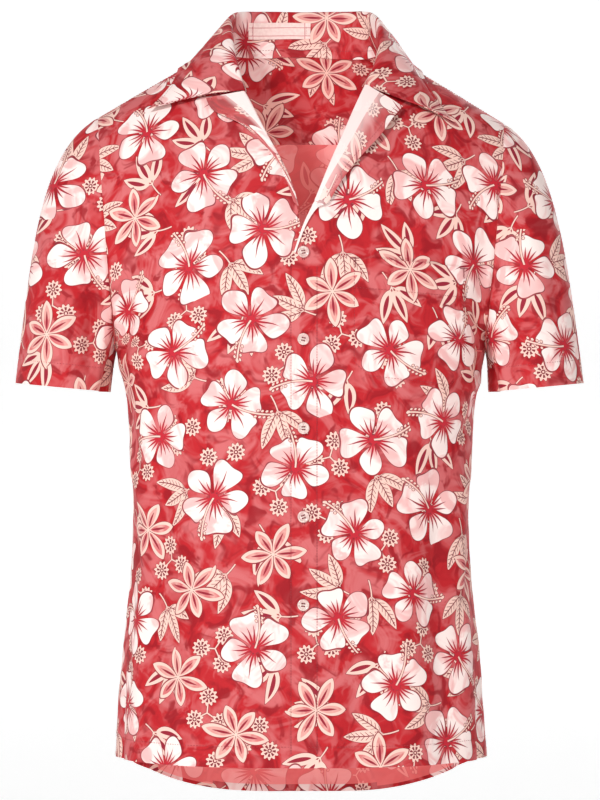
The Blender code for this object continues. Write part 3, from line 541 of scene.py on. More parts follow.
def smooth(rows, key, value, at):
    """Reads one column of a table at the given places of another, on a smooth curve through its rows."""
    xs = np.array([getattr(row, key) for row in rows], float)
    ys = np.array([getattr(row, value) for row in rows], float)
    steps = np.diff(xs)
    slopes = np.diff(ys) / steps
    tangents = np.empty_like(ys)
    tangents[1:-1] = (slopes[:-1] * steps[1:] + slopes[1:] * steps[:-1]) / (steps[1:] + steps[:-1])
    tangents[0] = 1.5 * slopes[0] - 0.5 * tangents[1]
    tangents[-1] = 1.5 * slopes[-1] - 0.5 * tangents[-2]
    at = np.clip(np.asarray(at, float), xs[0], xs[-1])
    i = np.clip(np.searchsorted(xs, at) - 1, 0, len(steps) - 1)
    t = (at - xs[i]) / steps[i]
    return (
        (2 * t**3 - 3 * t**2 + 1) * ys[i]
        + (t**3 - 2 * t**2 + t) * steps[i] * tangents[i]
        + (3 * t**2 - 2 * t**3) * ys[i + 1]
        + (t**3 - t**2) * steps[i] * tangents[i + 1]
    )


def ease(value, low, high):
    """Runs smoothly from 0 at low to 1 at high."""
    t = np.clip((value - low) / (high - low), 0, 1)
    return t * t * (3 - 2 * t)


def mix(a, b, t):
    return a + (b - a) * t


def unit(vectors):
    return vectors / np.linalg.norm(vectors, axis=-1, keepdims=True)


def run_along(points):
    """How far along a line of points each one lies."""
    return np.concatenate([[0], np.cumsum(np.linalg.norm(np.diff(points, axis=0), axis=1))])


def read_line(at, run, points):
    """Points of a line at other places along it."""
    return np.stack([np.interp(at, run, column) for column in points.T], axis=-1)


def armhole(level):
    """Distance out, height, and share of the oval's depth of the armhole seam at a level above the armpit."""
    angle = np.pi * np.clip(level - 1, 0, 1)
    z = mix(ARMPIT_Z, SHOULDER_Z, (1 - np.cos(angle)) / 2)
    x = mix(ARMPIT_X, SHOULDER_X, (z - ARMPIT_Z) / (SHOULDER_Z - ARMPIT_Z))
    return x, z, np.sin(angle)


def section(level, face):
    """One section of the body, from the centre line round to the side seam or armhole."""
    depth = float(smooth(SECTIONS, "level", face, level))
    centre_z = float(smooth(SECTIONS, "level", face + "_z", level))
    square = float(smooth(SECTIONS, "level", "square", level))
    drop = float(smooth(SECTIONS, "level", "drop", level))
    if level <= 1:
        lower = [row for row in SECTIONS if row.level <= 1]
        side = float(smooth(lower, "level", "side", level))
        side_z = float(smooth(lower, "level", "side_z", level))
        share = 0.0
    else:
        side, side_z, share = armhole(level)
    seam_depth = share * (ARM_FRONT if face == "front" else ARM_BACK)
    ratio = min(seam_depth / max(depth, 1e-6), 0.999) if share > 1e-9 else 0.0
    reach = side / (1 - ratio**square) ** (1 / square)
    angle = np.linspace(0, np.arccos(ratio ** (square / 2)), SECTION_STEPS)
    x = reach * np.sin(angle) ** (2 / square)
    y = depth * np.cos(angle).clip(0) ** (2 / square)
    share = (np.hypot(x / side, CREST) - CREST) / (np.hypot(1, CREST) - CREST)
    z = centre_z + (side_z - centre_z) * share**drop
    points = np.stack([x, -y if face == "front" else y, z], axis=1)
    run = run_along(points)
    placed = read_line(np.abs(FORM_TURNS), run / run[-1], points)
    placed[:, 0] *= np.sign(FORM_TURNS)
    return placed, run[-1]


def surface_normals(points):
    """Outward normals of a grid of points whose rows run from the hem up."""
    up = np.gradient(points, axis=0)
    across = np.gradient(points, axis=1)
    normals = np.cross(up, across)
    normals[np.linalg.norm(normals, axis=-1) < 1e-12] = (0, 0, 1)
    normals = unit(normals)
    middle = points.mean(axis=(0, 1)) * (0, 0.2, 0)
    away = points * (1, 1, 0) - middle
    return normals * np.sign(np.sum(normals * away, axis=-1).mean())


def flattened(points, row, column):
    """Lays a grid of points flat: heights along its columns from one row, then breadths along its rows."""
    rise = np.linalg.norm(np.diff(points, axis=0), axis=-1)
    high = np.concatenate([np.zeros((1, points.shape[1])), np.cumsum(rise, axis=0)])
    high -= high[row]
    run = np.diff(points, axis=1)
    step = np.sqrt(np.maximum((run**2).sum(axis=-1) - np.diff(high, axis=1) ** 2, 0))
    wide = np.concatenate([np.zeros((points.shape[0], 1)), np.cumsum(step, axis=1)], axis=1)
    wide -= wide[:, column:column + 1]
    return np.stack([wide, high], axis=-1)


def folded_out(face, girth, z):
    """How far the folds, the creases and two fine ripples move the cloth out at a place round the body."""
    push = np.zeros_like(girth)
    for fold in (fold for fold in FOLDS if fold.face == face):
        along = np.clip((z - fold.z_a) / (fold.z_b - fold.z_a), 0, 1)
        away = girth - mix(fold.girth_a, fold.girth_b, along)
        push += fold.depth * np.sin(np.pi * along) ** 0.7 * np.exp(-((away / fold.width) ** 2))
    for fold in (fold for fold in CREASES if fold.face == face):
        run = np.array((fold.girth_b - fold.girth_a, fold.z_b - fold.z_a))
        length = np.hypot(*run)
        along = np.clip(((girth - fold.girth_a) * run[0] + (z - fold.z_a) * run[1]) / length**2, 0, 1)
        bend = CREASE_BEND * length * along * (1 - along)
        away = ((girth - fold.girth_a) * run[1] - (z - fold.z_a) * run[0]) / length - bend
        rise = CREASE_RISE * fold.depth
        push += rise * np.sin(np.pi * along) ** 0.9 * np.exp(-((away / fold.width) ** 2))
    push += 0.0005 * np.sin(girth * 61 + z * 23) * np.sin(z * 47 - girth * 17 + 0.6)
    push += 0.0003 * np.sin(girth * 118 - z * 71 + 1.1) * np.sin(z * 96 + girth * 37)
    return push * (1 - ease(FORM_LEVELS, *RIDGE_TURN)[:, None])


def form_of(face):
    """The whole front or back with its folds: points, normals, sections' lengths and flat places."""
    cut = [section(level, face) for level in FORM_LEVELS]
    points = np.array([placed for placed, _ in cut])
    lengths = np.array([length for _, length in cut])
    push = folded_out(face, FORM_TURNS[None, :] * lengths[:, None], points[..., 2])
    points = points + surface_normals(points) * push[..., None]
    points[..., 2] -= LEAN * points[..., 0] * ease(points[..., 2], *LEAN_HEIGHTS)
    flat = flattened(points, len(FORM_LEVELS) // 2, len(FORM_TURNS) // 2)
    return points, surface_normals(points), lengths, flat


def both_forms():
    """The front and the back, whose normals turn into each other's where they meet."""
    front, back = form_of("front"), form_of("back")
    shared = unit(front[1] + back[1])
    near = np.maximum(
        ease(FORM_LEVELS, *RIDGE_TURN)[:, None] * np.ones(len(FORM_TURNS)),
        ease(np.abs(FORM_TURNS), *SEAM_TURN)[None, :] * (FORM_LEVELS <= 1.02)[:, None],
    )[..., None]
    return {
        "front": (front[0], unit(mix(front[1], shared, near)), front[2], front[3]),
        "back": (back[0], unit(mix(back[1], shared, near)), back[2], back[3]),
    }


FORMS = both_forms()


def read(grid, row, column):
    """Values of a grid between its points, on smooth curves through them."""
    i = np.clip(np.floor(row).astype(int), 0, grid.shape[0] - 2)
    j = np.clip(np.floor(column).astype(int), 0, grid.shape[1] - 2)

    def weights(t):
        return (
            (2 * t**2 - t - t**3) / 2, (2 - 5 * t**2 + 3 * t**3) / 2,
            (t + 4 * t**2 - 3 * t**3) / 2, (t**3 - t**2) / 2,
        )

    total = 0
    for a, by_row in enumerate(weights(row - i)):
        for b, by_column in enumerate(weights(column - j)):
            near = grid[np.clip(i + a - 1, 0, grid.shape[0] - 1), np.clip(j + b - 1, 0, grid.shape[1] - 1)]
            total = total + near * (by_row * by_column)[..., None]
    return total


def form_place(level, turn):
    row = np.clip(np.asarray(level, float), 0, 2) / 2 * (len(FORM_LEVELS) - 1)
    column = (np.clip(np.asarray(turn, float), -1, 1) + 1) / 2 * (len(FORM_TURNS) - 1)
    return np.broadcast_arrays(row, column)


def on_body(face, level, turn, out=0.0):
    """Points at levels and turns (0 at the centre line, 1 at the wearer's left seam), moved out."""
    place = form_place(level, turn)
    outward = unit(read(FORMS[face][1], *place))
    return read(FORMS[face][0], *place) + outward * np.asarray(out, float)[..., None]


def flat_on_body(face, level, turn):
    return read(FORMS[face][3], *form_place(level, turn))


def level_gap(face, level, turn, size):
    """The difference in level that gives a gap of this size."""
    step = 0.004
    a = on_body(face, np.clip(level - step, 0, 2), turn)
    b = on_body(face, np.clip(level, 0, 2), turn)
    return size * step / np.linalg.norm(b - a, axis=-1)


def spaced(count, length, near=(0.0004, 0.0012, 0.0028)):
    """Places from 0 to 1 along a stretch of cloth, closer together by its two ends."""
    close = np.array(near) / length
    between = np.linspace(close[-1], 1 - close[-1], count)[1:-1]
    return np.concatenate([[0], close, between, 1 - close[::-1], [1]])


def grid_of(across, along):
    """All pairs of places across and along a panel, rows along."""
    return np.meshgrid(across, along)


def dip(distance, width, depth):
    """How far a seam or a stitch line draws the cloth down at a distance from it."""
    return -depth * np.exp(-((distance / width) ** 2))


def pucker(run, distance, size=0.00028):
    """The small uneven ripples that thread draws along a stitch line."""
    ripple = np.sin(run * 690 + 2.1 * np.sin(run * 130)) + 0.5 * np.sin(run * 1130 + 1.3)
    return size * ripple * np.exp(-((distance / 0.005) ** 2))


def from_edges(spread):
    """How far each place of a flattened panel lies from its lower, upper, first and last edge."""
    wide, high = spread[..., 0], spread[..., 1]
    return high - high[0], high[-1] - high, np.abs(wide - wide[:, :1]), np.abs(wide[:, -1:] - wide)


def turned_hem(from_edge, hem, extra):
    """The cloth's thickness, more where its edge is turned up, and which faces are turned up."""
    wall = CLOTH_WALL + extra * (1 - ease(from_edge, hem - 0.0004, hem + 0.0004))
    return wall, from_edge < hem + 0.0002


def panel(name, outer, inner, flat, looks, hemmed=None, tube=False):
    """Cloth between its face and its wrong side, both grids of points, with its narrow edges closed.

    The first look is the printed side's and the second one the wrong side's. Hemmed faces show the first look
    inside too, where the cloth is turned over. A third number in the flat places goes into a second map.
    """
    rows, columns = flat.shape[:2]
    points_across = outer.shape[1]
    count = rows * points_across

    def quads(row, column, layer):
        row, column = np.stack(row, -1), np.stack(column, -1)
        index = layer * count + row * points_across + column % points_across
        return index.reshape(-1, 4), flat[row, column].reshape(-1, 4, flat.shape[-1])

    j, i = [a.ravel() for a in np.meshgrid(np.arange(rows - 1), np.arange(columns - 1), indexing="ij")]
    face, face_flat = quads((j, j, j + 1, j + 1), (i, i + 1, i + 1, i), 0)
    back, back_flat = quads((j + 1, j + 1, j, j), (i, i + 1, i + 1, i), 1)
    corners, places = [face, back], [face_flat, back_flat]
    slots = [np.zeros(len(face), int), np.ones(len(back), int)]
    if hemmed is not None:
        slots[1] = 1 - hemmed[1:, 1:].ravel().astype(int)
    i = np.arange(columns - 1)
    j = np.arange(rows - 1)
    edges = [(0 * i, 0 * i, i, i + 1), (0 * i + rows - 1, 0 * i + rows - 1, i + 1, i)]
    if not tube:
        edges += [(j + 1, j, 0 * j, 0 * j), (j, j + 1, 0 * j + columns - 1, 0 * j + columns - 1)]
    for row, next_row, column, next_column in edges:
        rim, rim_flat = quads((row, row, next_row, next_row), (column, column, next_column, next_column), 0)
        rim[:, 1:3] += count
        corners.append(rim)
        places.append(rim_flat)
        slots.append(np.zeros(len(rim), int))
    mesh = bpy.data.meshes.new(name)
    points = np.concatenate([outer.reshape(-1, 3), inner.reshape(-1, 3)])
    mesh.from_pydata(points.tolist(), [], np.concatenate(corners).tolist())
    places = np.concatenate(places).reshape(-1, flat.shape[-1])
    mesh.uv_layers.new(name="cloth").data.foreach_set("uv", places[:, :2].ravel())
    if flat.shape[-1] > 2:
        mesh.uv_layers.new(name="roll").data.foreach_set("uv", (places[:, 2:] * (1, 0)).ravel())
    for look in looks:
        mesh.materials.append(look)
    mesh.polygons.foreach_set("material_index", np.concatenate(slots))
    body = bmesh.new()
    body.from_mesh(mesh)
    if body.calc_volume(signed=True) < 0:
        bmesh.ops.reverse_faces(body, faces=body.faces)
    body.to_mesh(mesh)
    body.free()
    mesh.shade_smooth()
    mesh.set_sharp_from_angle(angle=np.radians(50))
    return in_scene(name + "_cloth", mesh)


def on_root(piece, *nodes, slot="printed_cloth"):
    """Every piece of the shirt rides on its one body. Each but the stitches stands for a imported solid."""
    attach(piece, "root")
    if nodes:
        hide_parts(*nodes)


def back_place(across, along):
    turn = mix(-1, 1, across)
    top = yoke_seam(turn)
    top = top - level_gap("back", top, turn, SEAM_GAP)
    level = top * along
    trim = 1 - SEAM_GAP / 2 / np.interp(level, FORM_LEVELS, FORMS["back"][2])
    return level, turn * trim


def yoke_seam(turn):
    """Levels of the yoke's seam, which runs nearly level across the back."""
    columns = np.linspace(-1, 1, 97)
    start = len(FORM_LEVELS) * 5 // 8
    heights = FORMS["back"][0][start:, ::4, 2]
    targets = YOKE_SEAM_Z - YOKE_SEAM_DROP * columns**2
    found = [np.interp(z, column, FORM_LEVELS[start:]) for z, column in zip(targets, heights.T)]
    return np.interp(turn, columns, found)


def dressed(name, face, level, turn, relief, wall, looks, cut=(1, 0, 0), **options):
    """A panel cut from the body's form: its face moved out by a relief, its wrong side a wall's thickness in.

    The cut is where its pattern lay on the printed cloth: which way round, and how far along and up.
    """
    outer = on_body(face, level, turn, relief)
    inner = on_body(face, level, turn, relief - wall)
    flat = flat_on_body(face, level, turn) * (cut[0], 1) + cut[1:]
    return panel(name, outer, inner, flat, looks, **options)


def hem_levels(face, turns, hem, highest):
    """Levels of a hem's line, one for each turn."""
    levels = np.linspace(0, highest, 30)
    return np.array([np.interp(hem, run_along(on_body(face, levels, turn)), levels) for turn in turns])


def sewn(name, lines, thread, pitch=0.0030, length=0.0021, radius=0.00022):
    """Rows of stitches along lines that lie on the cloth: short round bars of thread, one to each pitch."""
    corners, runs = [], []
    for line in lines:
        start = len(corners)
        corners.extend(np.asarray(line).tolist())
        runs.extend((start + k, start + k + 1) for k in range(len(line) - 1))
    mesh = bpy.data.meshes.new(name + "_lines")
    mesh.from_pydata(corners, runs, [])
    guide = in_scene(name + "_lines", mesh)
    rule = guide.modifiers.new("Stitches", "NODES")
    rule.node_group = stitch_tree()
    settings = {"Pitch": pitch, "Length": length, "Radius": radius, "Thread": thread}
    for socket in rule.node_group.interface.items_tree:
        if socket.name in settings:
            rule[socket.identifier] = settings[socket.name]
    made = mesh_of(guide)
    made.name = name
    made.shade_smooth()
    on_root(in_scene(name, made))


def mesh_of(holder, *helpers):
    """The finished mesh of an object, which goes with the objects that helped to shape it."""
    made = bpy.data.meshes.new_from_object(holder.evaluated_get(bpy.context.evaluated_depsgraph_get()))
    for used in (holder, *helpers):
        bpy.data.objects.remove(used)
    return made


def stitch_tree():
    """Lines in, one bar of thread for each pitch of them out."""
    if "stitches" in bpy.data.node_groups:
        return bpy.data.node_groups["stitches"]
    tree = bpy.data.node_groups.new("stitches", "GeometryNodeTree")
    tree.interface.new_socket("Geometry", in_out="INPUT", socket_type="NodeSocketGeometry")
    for label in ("Pitch", "Length", "Radius"):
        tree.interface.new_socket(label, in_out="INPUT", socket_type="NodeSocketFloat")
    tree.interface.new_socket("Thread", in_out="INPUT", socket_type="NodeSocketMaterial")
    tree.interface.new_socket("Geometry", in_out="OUTPUT", socket_type="NodeSocketGeometry")
    made = {}
    for key, kind in (
        ("in", "NodeGroupInput"), ("curve", "GeometryNodeMeshToCurve"), ("even", "GeometryNodeResampleCurve"),
        ("bar", "GeometryNodeMeshUVSphere"), ("size", "ShaderNodeCombineXYZ"),
        ("shape", "GeometryNodeTransform"), ("tangent", "GeometryNodeInputTangent"),
        ("turn", "FunctionNodeAlignRotationToVector"),
        ("each", "GeometryNodeInstanceOnPoints"), ("real", "GeometryNodeRealizeInstances"),
        ("look", "GeometryNodeSetMaterial"), ("out", "NodeGroupOutput"), ("half", "ShaderNodeMath"),
    ):
        made[key] = tree.nodes.new(kind)
    made["even"].mode = "LENGTH"
    made["bar"].inputs["Segments"].default_value = 6
    made["bar"].inputs["Rings"].default_value = 4
    made["bar"].inputs["Radius"].default_value = 1.0
    made["turn"].axis = "X"
    made["half"].operation = "MULTIPLY"
    made["half"].inputs[1].default_value = 0.5
    for source, output, target, socket in (
        ("in", "Geometry", "curve", "Mesh"), ("curve", "Curve", "even", "Curve"),
        ("in", "Pitch", "even", "Length"), ("in", "Length", "half", 0), ("half", 0, "size", "X"),
        ("in", "Radius", "size", "Y"), ("in", "Radius", "size", "Z"), ("size", 0, "shape", "Scale"),
        ("bar", "Mesh", "shape", "Geometry"), ("tangent", 0, "turn", "Vector"),
        ("even", "Curve", "each", "Points"), ("shape", 0, "each", "Instance"),
        ("turn", 0, "each", "Rotation"), ("each", 0, "real", 0), ("real", 0, "look", "Geometry"),
        ("in", "Thread", "look", "Material"), ("look", 0, "out", 0),
    ):
        tree.links.new(made[source].outputs[output], made[target].inputs[socket])
    return tree


def thread_material(name, colour):
    """Twisted sewing thread."""
    made, tree, shader = new_look(name, {"Roughness": 0.62})
    place = Dye(tree, tree.nodes.new("ShaderNodeTexCoord").outputs["Object"])
    dark = tuple(c * 0.72 for c in colour[:3]) + (1,)
    flecked = place.clouds(2600.0, 1.0).between(0.35, 0.65).mixed(dark, colour)
    tree.links.new(flecked.socket, shader.inputs["Base Color"])
    return made


red_thread = thread_material("red_thread", (0.36, 0.026, 0.038, 1))
dark_thread = thread_material("dark_thread", (0.25, 0.022, 0.034, 1))

level, turn = back_place(*grid_of(spaced(170, 0.48), spaced(210, 0.60)))
spread = flat_on_body("back", level, turn)
to_hem, to_yoke, *to_sides = from_edges(spread)
to_side = np.minimum(*to_sides)
relief = (
    dip(to_hem - TAIL_HEM, 0.0012, 0.00035) + pucker(spread[..., 0], to_hem - TAIL_HEM / 2)
    + dip(to_side, 0.0022, 0.0007) + pucker(spread[..., 1], to_side, 0.0002)
    + dip(to_yoke, 0.0018, 0.0005) + pucker(spread[..., 0] * 0.9, to_yoke, 0.0002)
)
wall, turned_up = turned_hem(to_hem, TAIL_HEM, 0.0006)
looks = (printed_cloth, wrong_side)
back = dressed("back", "back", level, turn, relief, wall, looks, cut=(-1, 4.117, 0.633), hemmed=turned_up)
on_root(back, "back")
hem_turn = np.linspace(-0.995, 0.995, 500)
tail_line = on_body("back", hem_levels("back", hem_turn, TAIL_HEM, 0.06), hem_turn, THREAD_LIFT)
sewn("stitches_tail", [tail_line], red_thread)


# Yoke: two layers of the printed cloth across the shoulders, from the back seam over to the shoulder seams
# and the neck, so the inside shows the printed face too. Stitches hold the turned edges along each seam.
NECK_X = 0.078
NECK_BACK_Y = 0.0745
NECK_SQUARE = 2.4
YOKE_WALL = 0.0009
YOKE_STITCH = 0.0020


def spot(face, x, value, axis):
    """Level and turn of the body's point at a given x and a given y (axis 1) or z (axis 2)."""
    points = FORMS[face][0]
    turns = np.array([np.interp(x, row[:, 0], FORM_TURNS) for row in points])
    values = np.array([np.interp(turn, FORM_TURNS, row[:, axis]) for turn, row in zip(turns, points)])
    if axis == 1:
        start = len(FORM_LEVELS) // 2
        order = values[start:] if face == "front" else -values[start:]
        level = np.interp(value if face == "front" else -value, order, FORM_LEVELS[start:])
    else:
        level = np.interp(value, values, FORM_LEVELS)
    return level, np.interp(level, FORM_LEVELS, turns)


def neck_back(count):
    """Levels and turns along the back neckline, from the middle of the back to the neck point."""
    angles = np.linspace(0, np.pi / 2, count)[:-1]
    x = NECK_X * np.sin(angles) ** (2 / NECK_SQUARE)
    y = NECK_BACK_Y * np.cos(angles) ** (2 / NECK_SQUARE)
    found = [spot("back", a, b, 1) for a, b in zip(x, y)]
    found.append(spot("back", NECK_X, 0.0, 1))
    return np.array(found)


NECK_BACK = neck_back(41)


def yoke_place(across, along):
    """The yoke, whose columns bunch so that one falls on each neck point, where its top edge turns."""
    corner = NECK_BACK[-1, 1]
    signed = mix(-1, 1, across)
    half = np.abs(signed)
    turn = np.sign(signed) * np.where(half < 0.5, half * 2 * corner, mix(corner, 1, half * 2 - 1))
    top = np.where(np.abs(turn) < corner, np.interp(np.abs(turn), NECK_BACK[:, 1], NECK_BACK[:, 0]), 2.0)
    top = np.where(top > 1.999, 2 - level_gap("back", 2.0, turn, SEAM_GAP / 2), top)
    level = mix(yoke_seam(turn), top, along)
    trim = 1 - SEAM_GAP / 2 / np.interp(level, FORM_LEVELS, FORMS["back"][2])
    return level, turn * trim


level, turn = yoke_place(*grid_of(spaced(160, 0.44), spaced(44, 0.12)))
spread = flat_on_body("back", level, turn)
to_seam, to_top, *to_sides = from_edges(spread)
relief = (
    dip(to_seam, 0.0012, 0.0004) + dip(to_seam - YOKE_STITCH, 0.0007, 0.0002)
    + pucker(spread[..., 0], to_seam) + dip(to_top, 0.0015, 0.0004) + pucker(spread[..., 0], to_top, 0.0002)
    + dip(np.minimum(*to_sides), 0.0022, 0.0006)
)
looks = (printed_cloth, printed_cloth)
yoke = dressed("yoke", "back", level, turn, relief, YOKE_WALL, looks, cut=(-1, 7.324, 2.187))
on_root(yoke, "yoke")
seam_turn = np.linspace(-0.99, 0.99, 400)
seam_level = yoke_seam(seam_turn) + level_gap("back", 1.5, seam_turn, YOKE_STITCH)
shoulder_turn = np.linspace(NECK_BACK[-1, 1] + 0.01, 0.99, 160)
shoulder_level = 2 - level_gap("back", 2.0, shoulder_turn, YOKE_STITCH)
sewn("stitches_yoke", [
    on_body("back", seam_level, seam_turn, THREAD_LIFT),
    on_body("back", shoulder_level, shoulder_turn, THREAD_LIFT),
    on_body("back", shoulder_level, -shoulder_turn, THREAD_LIFT),
], red_thread)


# Fronts: two panels from the closure and the open neck round to the side seams. The wearer's left one lies
# over the right one and has two rows of stitches beside the closure; the row by its edge is in dark thread
# that also stands in for the thin shadow along that edge, as painted shade. Each has a stitched hem 20 mm
# deep.
CENTRE_X = 0.0023
CLOSURE_FADE = (0.020, 0.055)
CLOSURE_STEP = 0.0006
PLACKET_X = 0.0152
PLACKET_TOP = 1.25
EDGE_STITCH_X = -0.0096
CLOSURE_STITCHES = (-0.655, -0.192)
FRONT_HEM = 0.0200
Edge = namedtuple("Edge", "z x")
RIGHT_EDGE = (
    Edge(-0.2100, -0.0155), Edge(-0.1700, -0.0075), Edge(-0.1521, 0.0000), Edge(-0.1215, 0.0062),
    Edge(-0.0900, 0.0191), Edge(-0.0575, 0.0373), Edge(-0.0206, 0.0561), Edge(0.0030, 0.0660),
    Edge(0.0267, 0.0780),
)
LEFT_EDGE = (
    Edge(-0.2100, -0.0105), Edge(-0.1885, -0.0086), Edge(-0.1655, -0.0030), Edge(-0.1483, 0.0038),
    Edge(-0.1311, 0.0124), Edge(-0.0795, 0.0345), Edge(-0.0470, 0.0490), Edge(-0.0148, 0.0629),
    Edge(0.0060, 0.0710), Edge(0.0267, 0.0780),
)
NECK_EDGES = {-1: RIGHT_EDGE, 1: LEFT_EDGE}


def closure_step(x):
    """Half the height from one front to the other, which dies out away from the closure."""
    return CLOSURE_STEP * (1 - ease(x, *CLOSURE_FADE))


def inner_turn(side, level):
    """Turn at which a front's cloth begins at a level: its closure edge, then its neck edge."""
    row = on_body("front", level, FORM_TURNS)
    beyond = row[:, 0] * side - smooth(NECK_EDGES[side], "z", "x", row[:, 2])
    order = np.argsort(FORM_TURNS * side)
    turns = FORM_TURNS[order] * side
    first = int(np.argmax(beyond[order] > 0))
    low, high = order[first - 1], order[first]
    share = -beyond[low] / (beyond[high] - beyond[low])
    return mix(turns[first - 1], turns[first], share)


def front_place(side, across, along):
    """A front from its closure and neck edge round to the side, and from the hem up to the shoulder."""
    top = 2 - float(level_gap("front", 2.0, np.array(0.7), SEAM_GAP / 2))
    inner = [inner_turn(side, min(level, top)) for level in FORM_LEVELS]
    level = top * along
    outer = 1 - SEAM_GAP / 2 / np.interp(level, FORM_LEVELS, FORMS["front"][2])
    return level, mix(np.interp(level, FORM_LEVELS, inner), outer, across) * side


def lookup():
    """Level and turn of the front's points for an even table of places seen from the front."""
    points = FORMS["front"][0]
    xs = np.linspace(-0.170, 0.170, 171)
    zs = np.linspace(-0.672, 0.052, 363)
    table = np.empty((len(xs), len(zs), 2))
    for i, x in enumerate(xs):
        turns = np.array([np.interp(x, row[:, 0], FORM_TURNS) for row in points])
        heights = np.array([np.interp(turn, FORM_TURNS, row[:, 2]) for turn, row in zip(turns, points)])
        level = np.interp(zs, heights, FORM_LEVELS)
        table[i] = np.stack([level, np.interp(level, FORM_LEVELS, turns)], axis=-1)
    return xs, zs, table


SEEN_X, SEEN_Z, SEEN = lookup()


def seen(x, z):
    """Level and turn of places on the fronts, given as they show from the front."""
    x, z = np.broadcast_arrays(np.asarray(x, float), np.asarray(z, float))
    row = (x - SEEN_X[0]) / (SEEN_X[1] - SEEN_X[0])
    column = (z - SEEN_Z[0]) / (SEEN_Z[1] - SEEN_Z[0])
    found = read(SEEN, row, column)
    return found[..., 0], found[..., 1]


def on_front(x, z, out):
    return on_body("front", *seen(x, z), out)


for side, hand in ((-1, "right"), (1, "left")):
    level, turn = front_place(side, *grid_of(spaced(110, 0.24), spaced(210, 0.68)))
    spread = flat_on_body("front", level, turn)
    x = on_body("front", level, turn)[..., 0] * side
    to_hem, to_shoulder, to_edge, to_side = from_edges(spread)
    relief = side * closure_step(np.abs(x)) + (
        dip(to_hem - FRONT_HEM, 0.0011, 0.00035) + pucker(spread[..., 0], to_hem - FRONT_HEM)
        + dip(to_side, 0.0022, 0.0007) + pucker(spread[..., 1], to_side, 0.0002)
        + dip(to_shoulder, 0.0020, 0.0006) + dip(to_edge, 0.0007, 0.0002)
    )
    if side > 0:
        drawn = dip(x - PLACKET_X, 0.0010, 0.0003) + pucker(spread[..., 1], x - PLACKET_X, 0.0002)
        relief = relief + drawn * (level < PLACKET_TOP)
    wall, turned_up = turned_hem(to_hem, FRONT_HEM, 0.0004)
    looks = (printed_cloth, wrong_side)
    front = dressed("front_" + hand, "front", level, turn, relief, wall, looks, hemmed=turned_up)
    on_root(front, "front_" + hand)
    hem_turn = np.linspace(0.03 if side > 0 else 0.0, 0.995, 260) * side
    hem_level = hem_levels("front", hem_turn, FRONT_HEM, 0.12)
    out = side * closure_step(np.abs(on_body("front", hem_level, hem_turn)[:, 0])) + THREAD_LIFT
    sewn("stitches_front_" + hand, [on_body("front", hem_level, hem_turn, out)], red_thread)

z = np.linspace(*CLOSURE_STITCHES, 300)
# The row by the left front's edge is real edge-stitching in dark thread that also stands in for the edge's
# thin shadow: painted shade.
lines = [on_front(np.full(len(z), x), z, closure_step(x) + THREAD_LIFT) for x in (EDGE_STITCH_X, PLACKET_X)]
sewn("stitches_closure", lines, dark_thread, pitch=0.0026, length=0.0023, radius=0.0003)


# Pocket: a patch of the same cloth whose print meets the front's, turned in along its sides, with a deep hem
# at its mouth, sewn just inside its edge and tacked at its two upper corners.
POCKET_LEFT_X = 0.0490
POCKET_RIGHT_X = 0.1585
POCKET_TOP_Z = -0.1816
POCKET_TOP_DROP = 0.0092
POCKET_WIDTH = POCKET_RIGHT_X - POCKET_LEFT_X
POCKET_HEIGHT = 0.1150
POCKET_CORNER = 0.0140
POCKET_HEM = 0.0290
POCKET_EDGE_STITCH = 0.0018
BAR_TACK = {"pitch": 0.0006, "length": 0.0011, "radius": 0.0004}


def pocket_at(across, down):
    """The pocket's lower corners are cut off at a slant."""
    cut = POCKET_CORNER * ease(down, 1 - 1.2 * POCKET_CORNER / POCKET_HEIGHT, 1.0)
    x = mix(POCKET_LEFT_X + cut, POCKET_RIGHT_X - cut, across)
    return x, POCKET_TOP_Z - POCKET_TOP_DROP * across - POCKET_HEIGHT * down


across, along = grid_of(spaced(70, 0.110), spaced(76, POCKET_HEIGHT))
x, z = pocket_at(across, 1 - along)
sides = np.minimum(across, 1 - across) * POCKET_WIDTH
bottom = along * POCKET_HEIGHT
top = (1 - along) * POCKET_HEIGHT
loose = 0.0006 * ease(np.minimum(sides, bottom), 0.0, 0.010)
gaping = 0.0013 * np.exp(-((top / 0.016) ** 2)) * ease(sides, 0.002, 0.030)
relief = (
    closure_step(x) + 0.0007 + loose + gaping
    + dip(sides - POCKET_EDGE_STITCH, 0.0008, 0.0003) + dip(bottom - POCKET_EDGE_STITCH, 0.0008, 0.0003)
    + dip(top - POCKET_HEM, 0.0011, 0.0003) + pucker(x, top - POCKET_HEM, 0.0002)
    + pucker(x, bottom, 0.0002) + pucker(z, sides, 0.0002)
)
wall = CLOTH_WALL * (1 + 0.6 * (top < POCKET_HEM))
pocket = dressed("pocket", "front", *seen(x, z), relief, wall, (printed_cloth, wrong_side))
on_root(pocket, "pocket")


def pocket_line(places):
    """A line of stitches on the pocket through places given across and down it."""
    places = np.array(places)
    run = run_along(places)
    x, z = pocket_at(*read_line(np.linspace(0, run[-1], int(200 * run[-1]) + 8), run, places).T)
    return on_front(x, z, closure_step(x) + 0.00085)


edge = POCKET_EDGE_STITCH / POCKET_WIDTH
foot = 1 - POCKET_EDGE_STITCH / POCKET_HEIGHT
mouth = POCKET_HEM / POCKET_HEIGHT
sewn("stitches_pocket", [
    pocket_line([(edge, 0.01), (edge, foot), (1 - edge, foot), (1 - edge, 0.01)]),
    pocket_line([(edge, mouth), (1 - edge, mouth)]) + (0, -0.0006, 0),
], red_thread)

tacks = []
bar = np.linspace(0, 1, 20)
for across in (edge * 1.5, 1 - edge * 1.5):
    x, z = pocket_at(across, 0.0)
    tacks.append(on_front(x + mix(-0.0035, 0.0035, bar), z - 0.0012, closure_step(x) + 0.0021))
    tacks.append(on_front(x, z - mix(0.0015, 0.0095, bar), closure_step(x) + 0.0017))
sewn("stitches_tacks", tacks, dark_thread, **BAR_TACK)


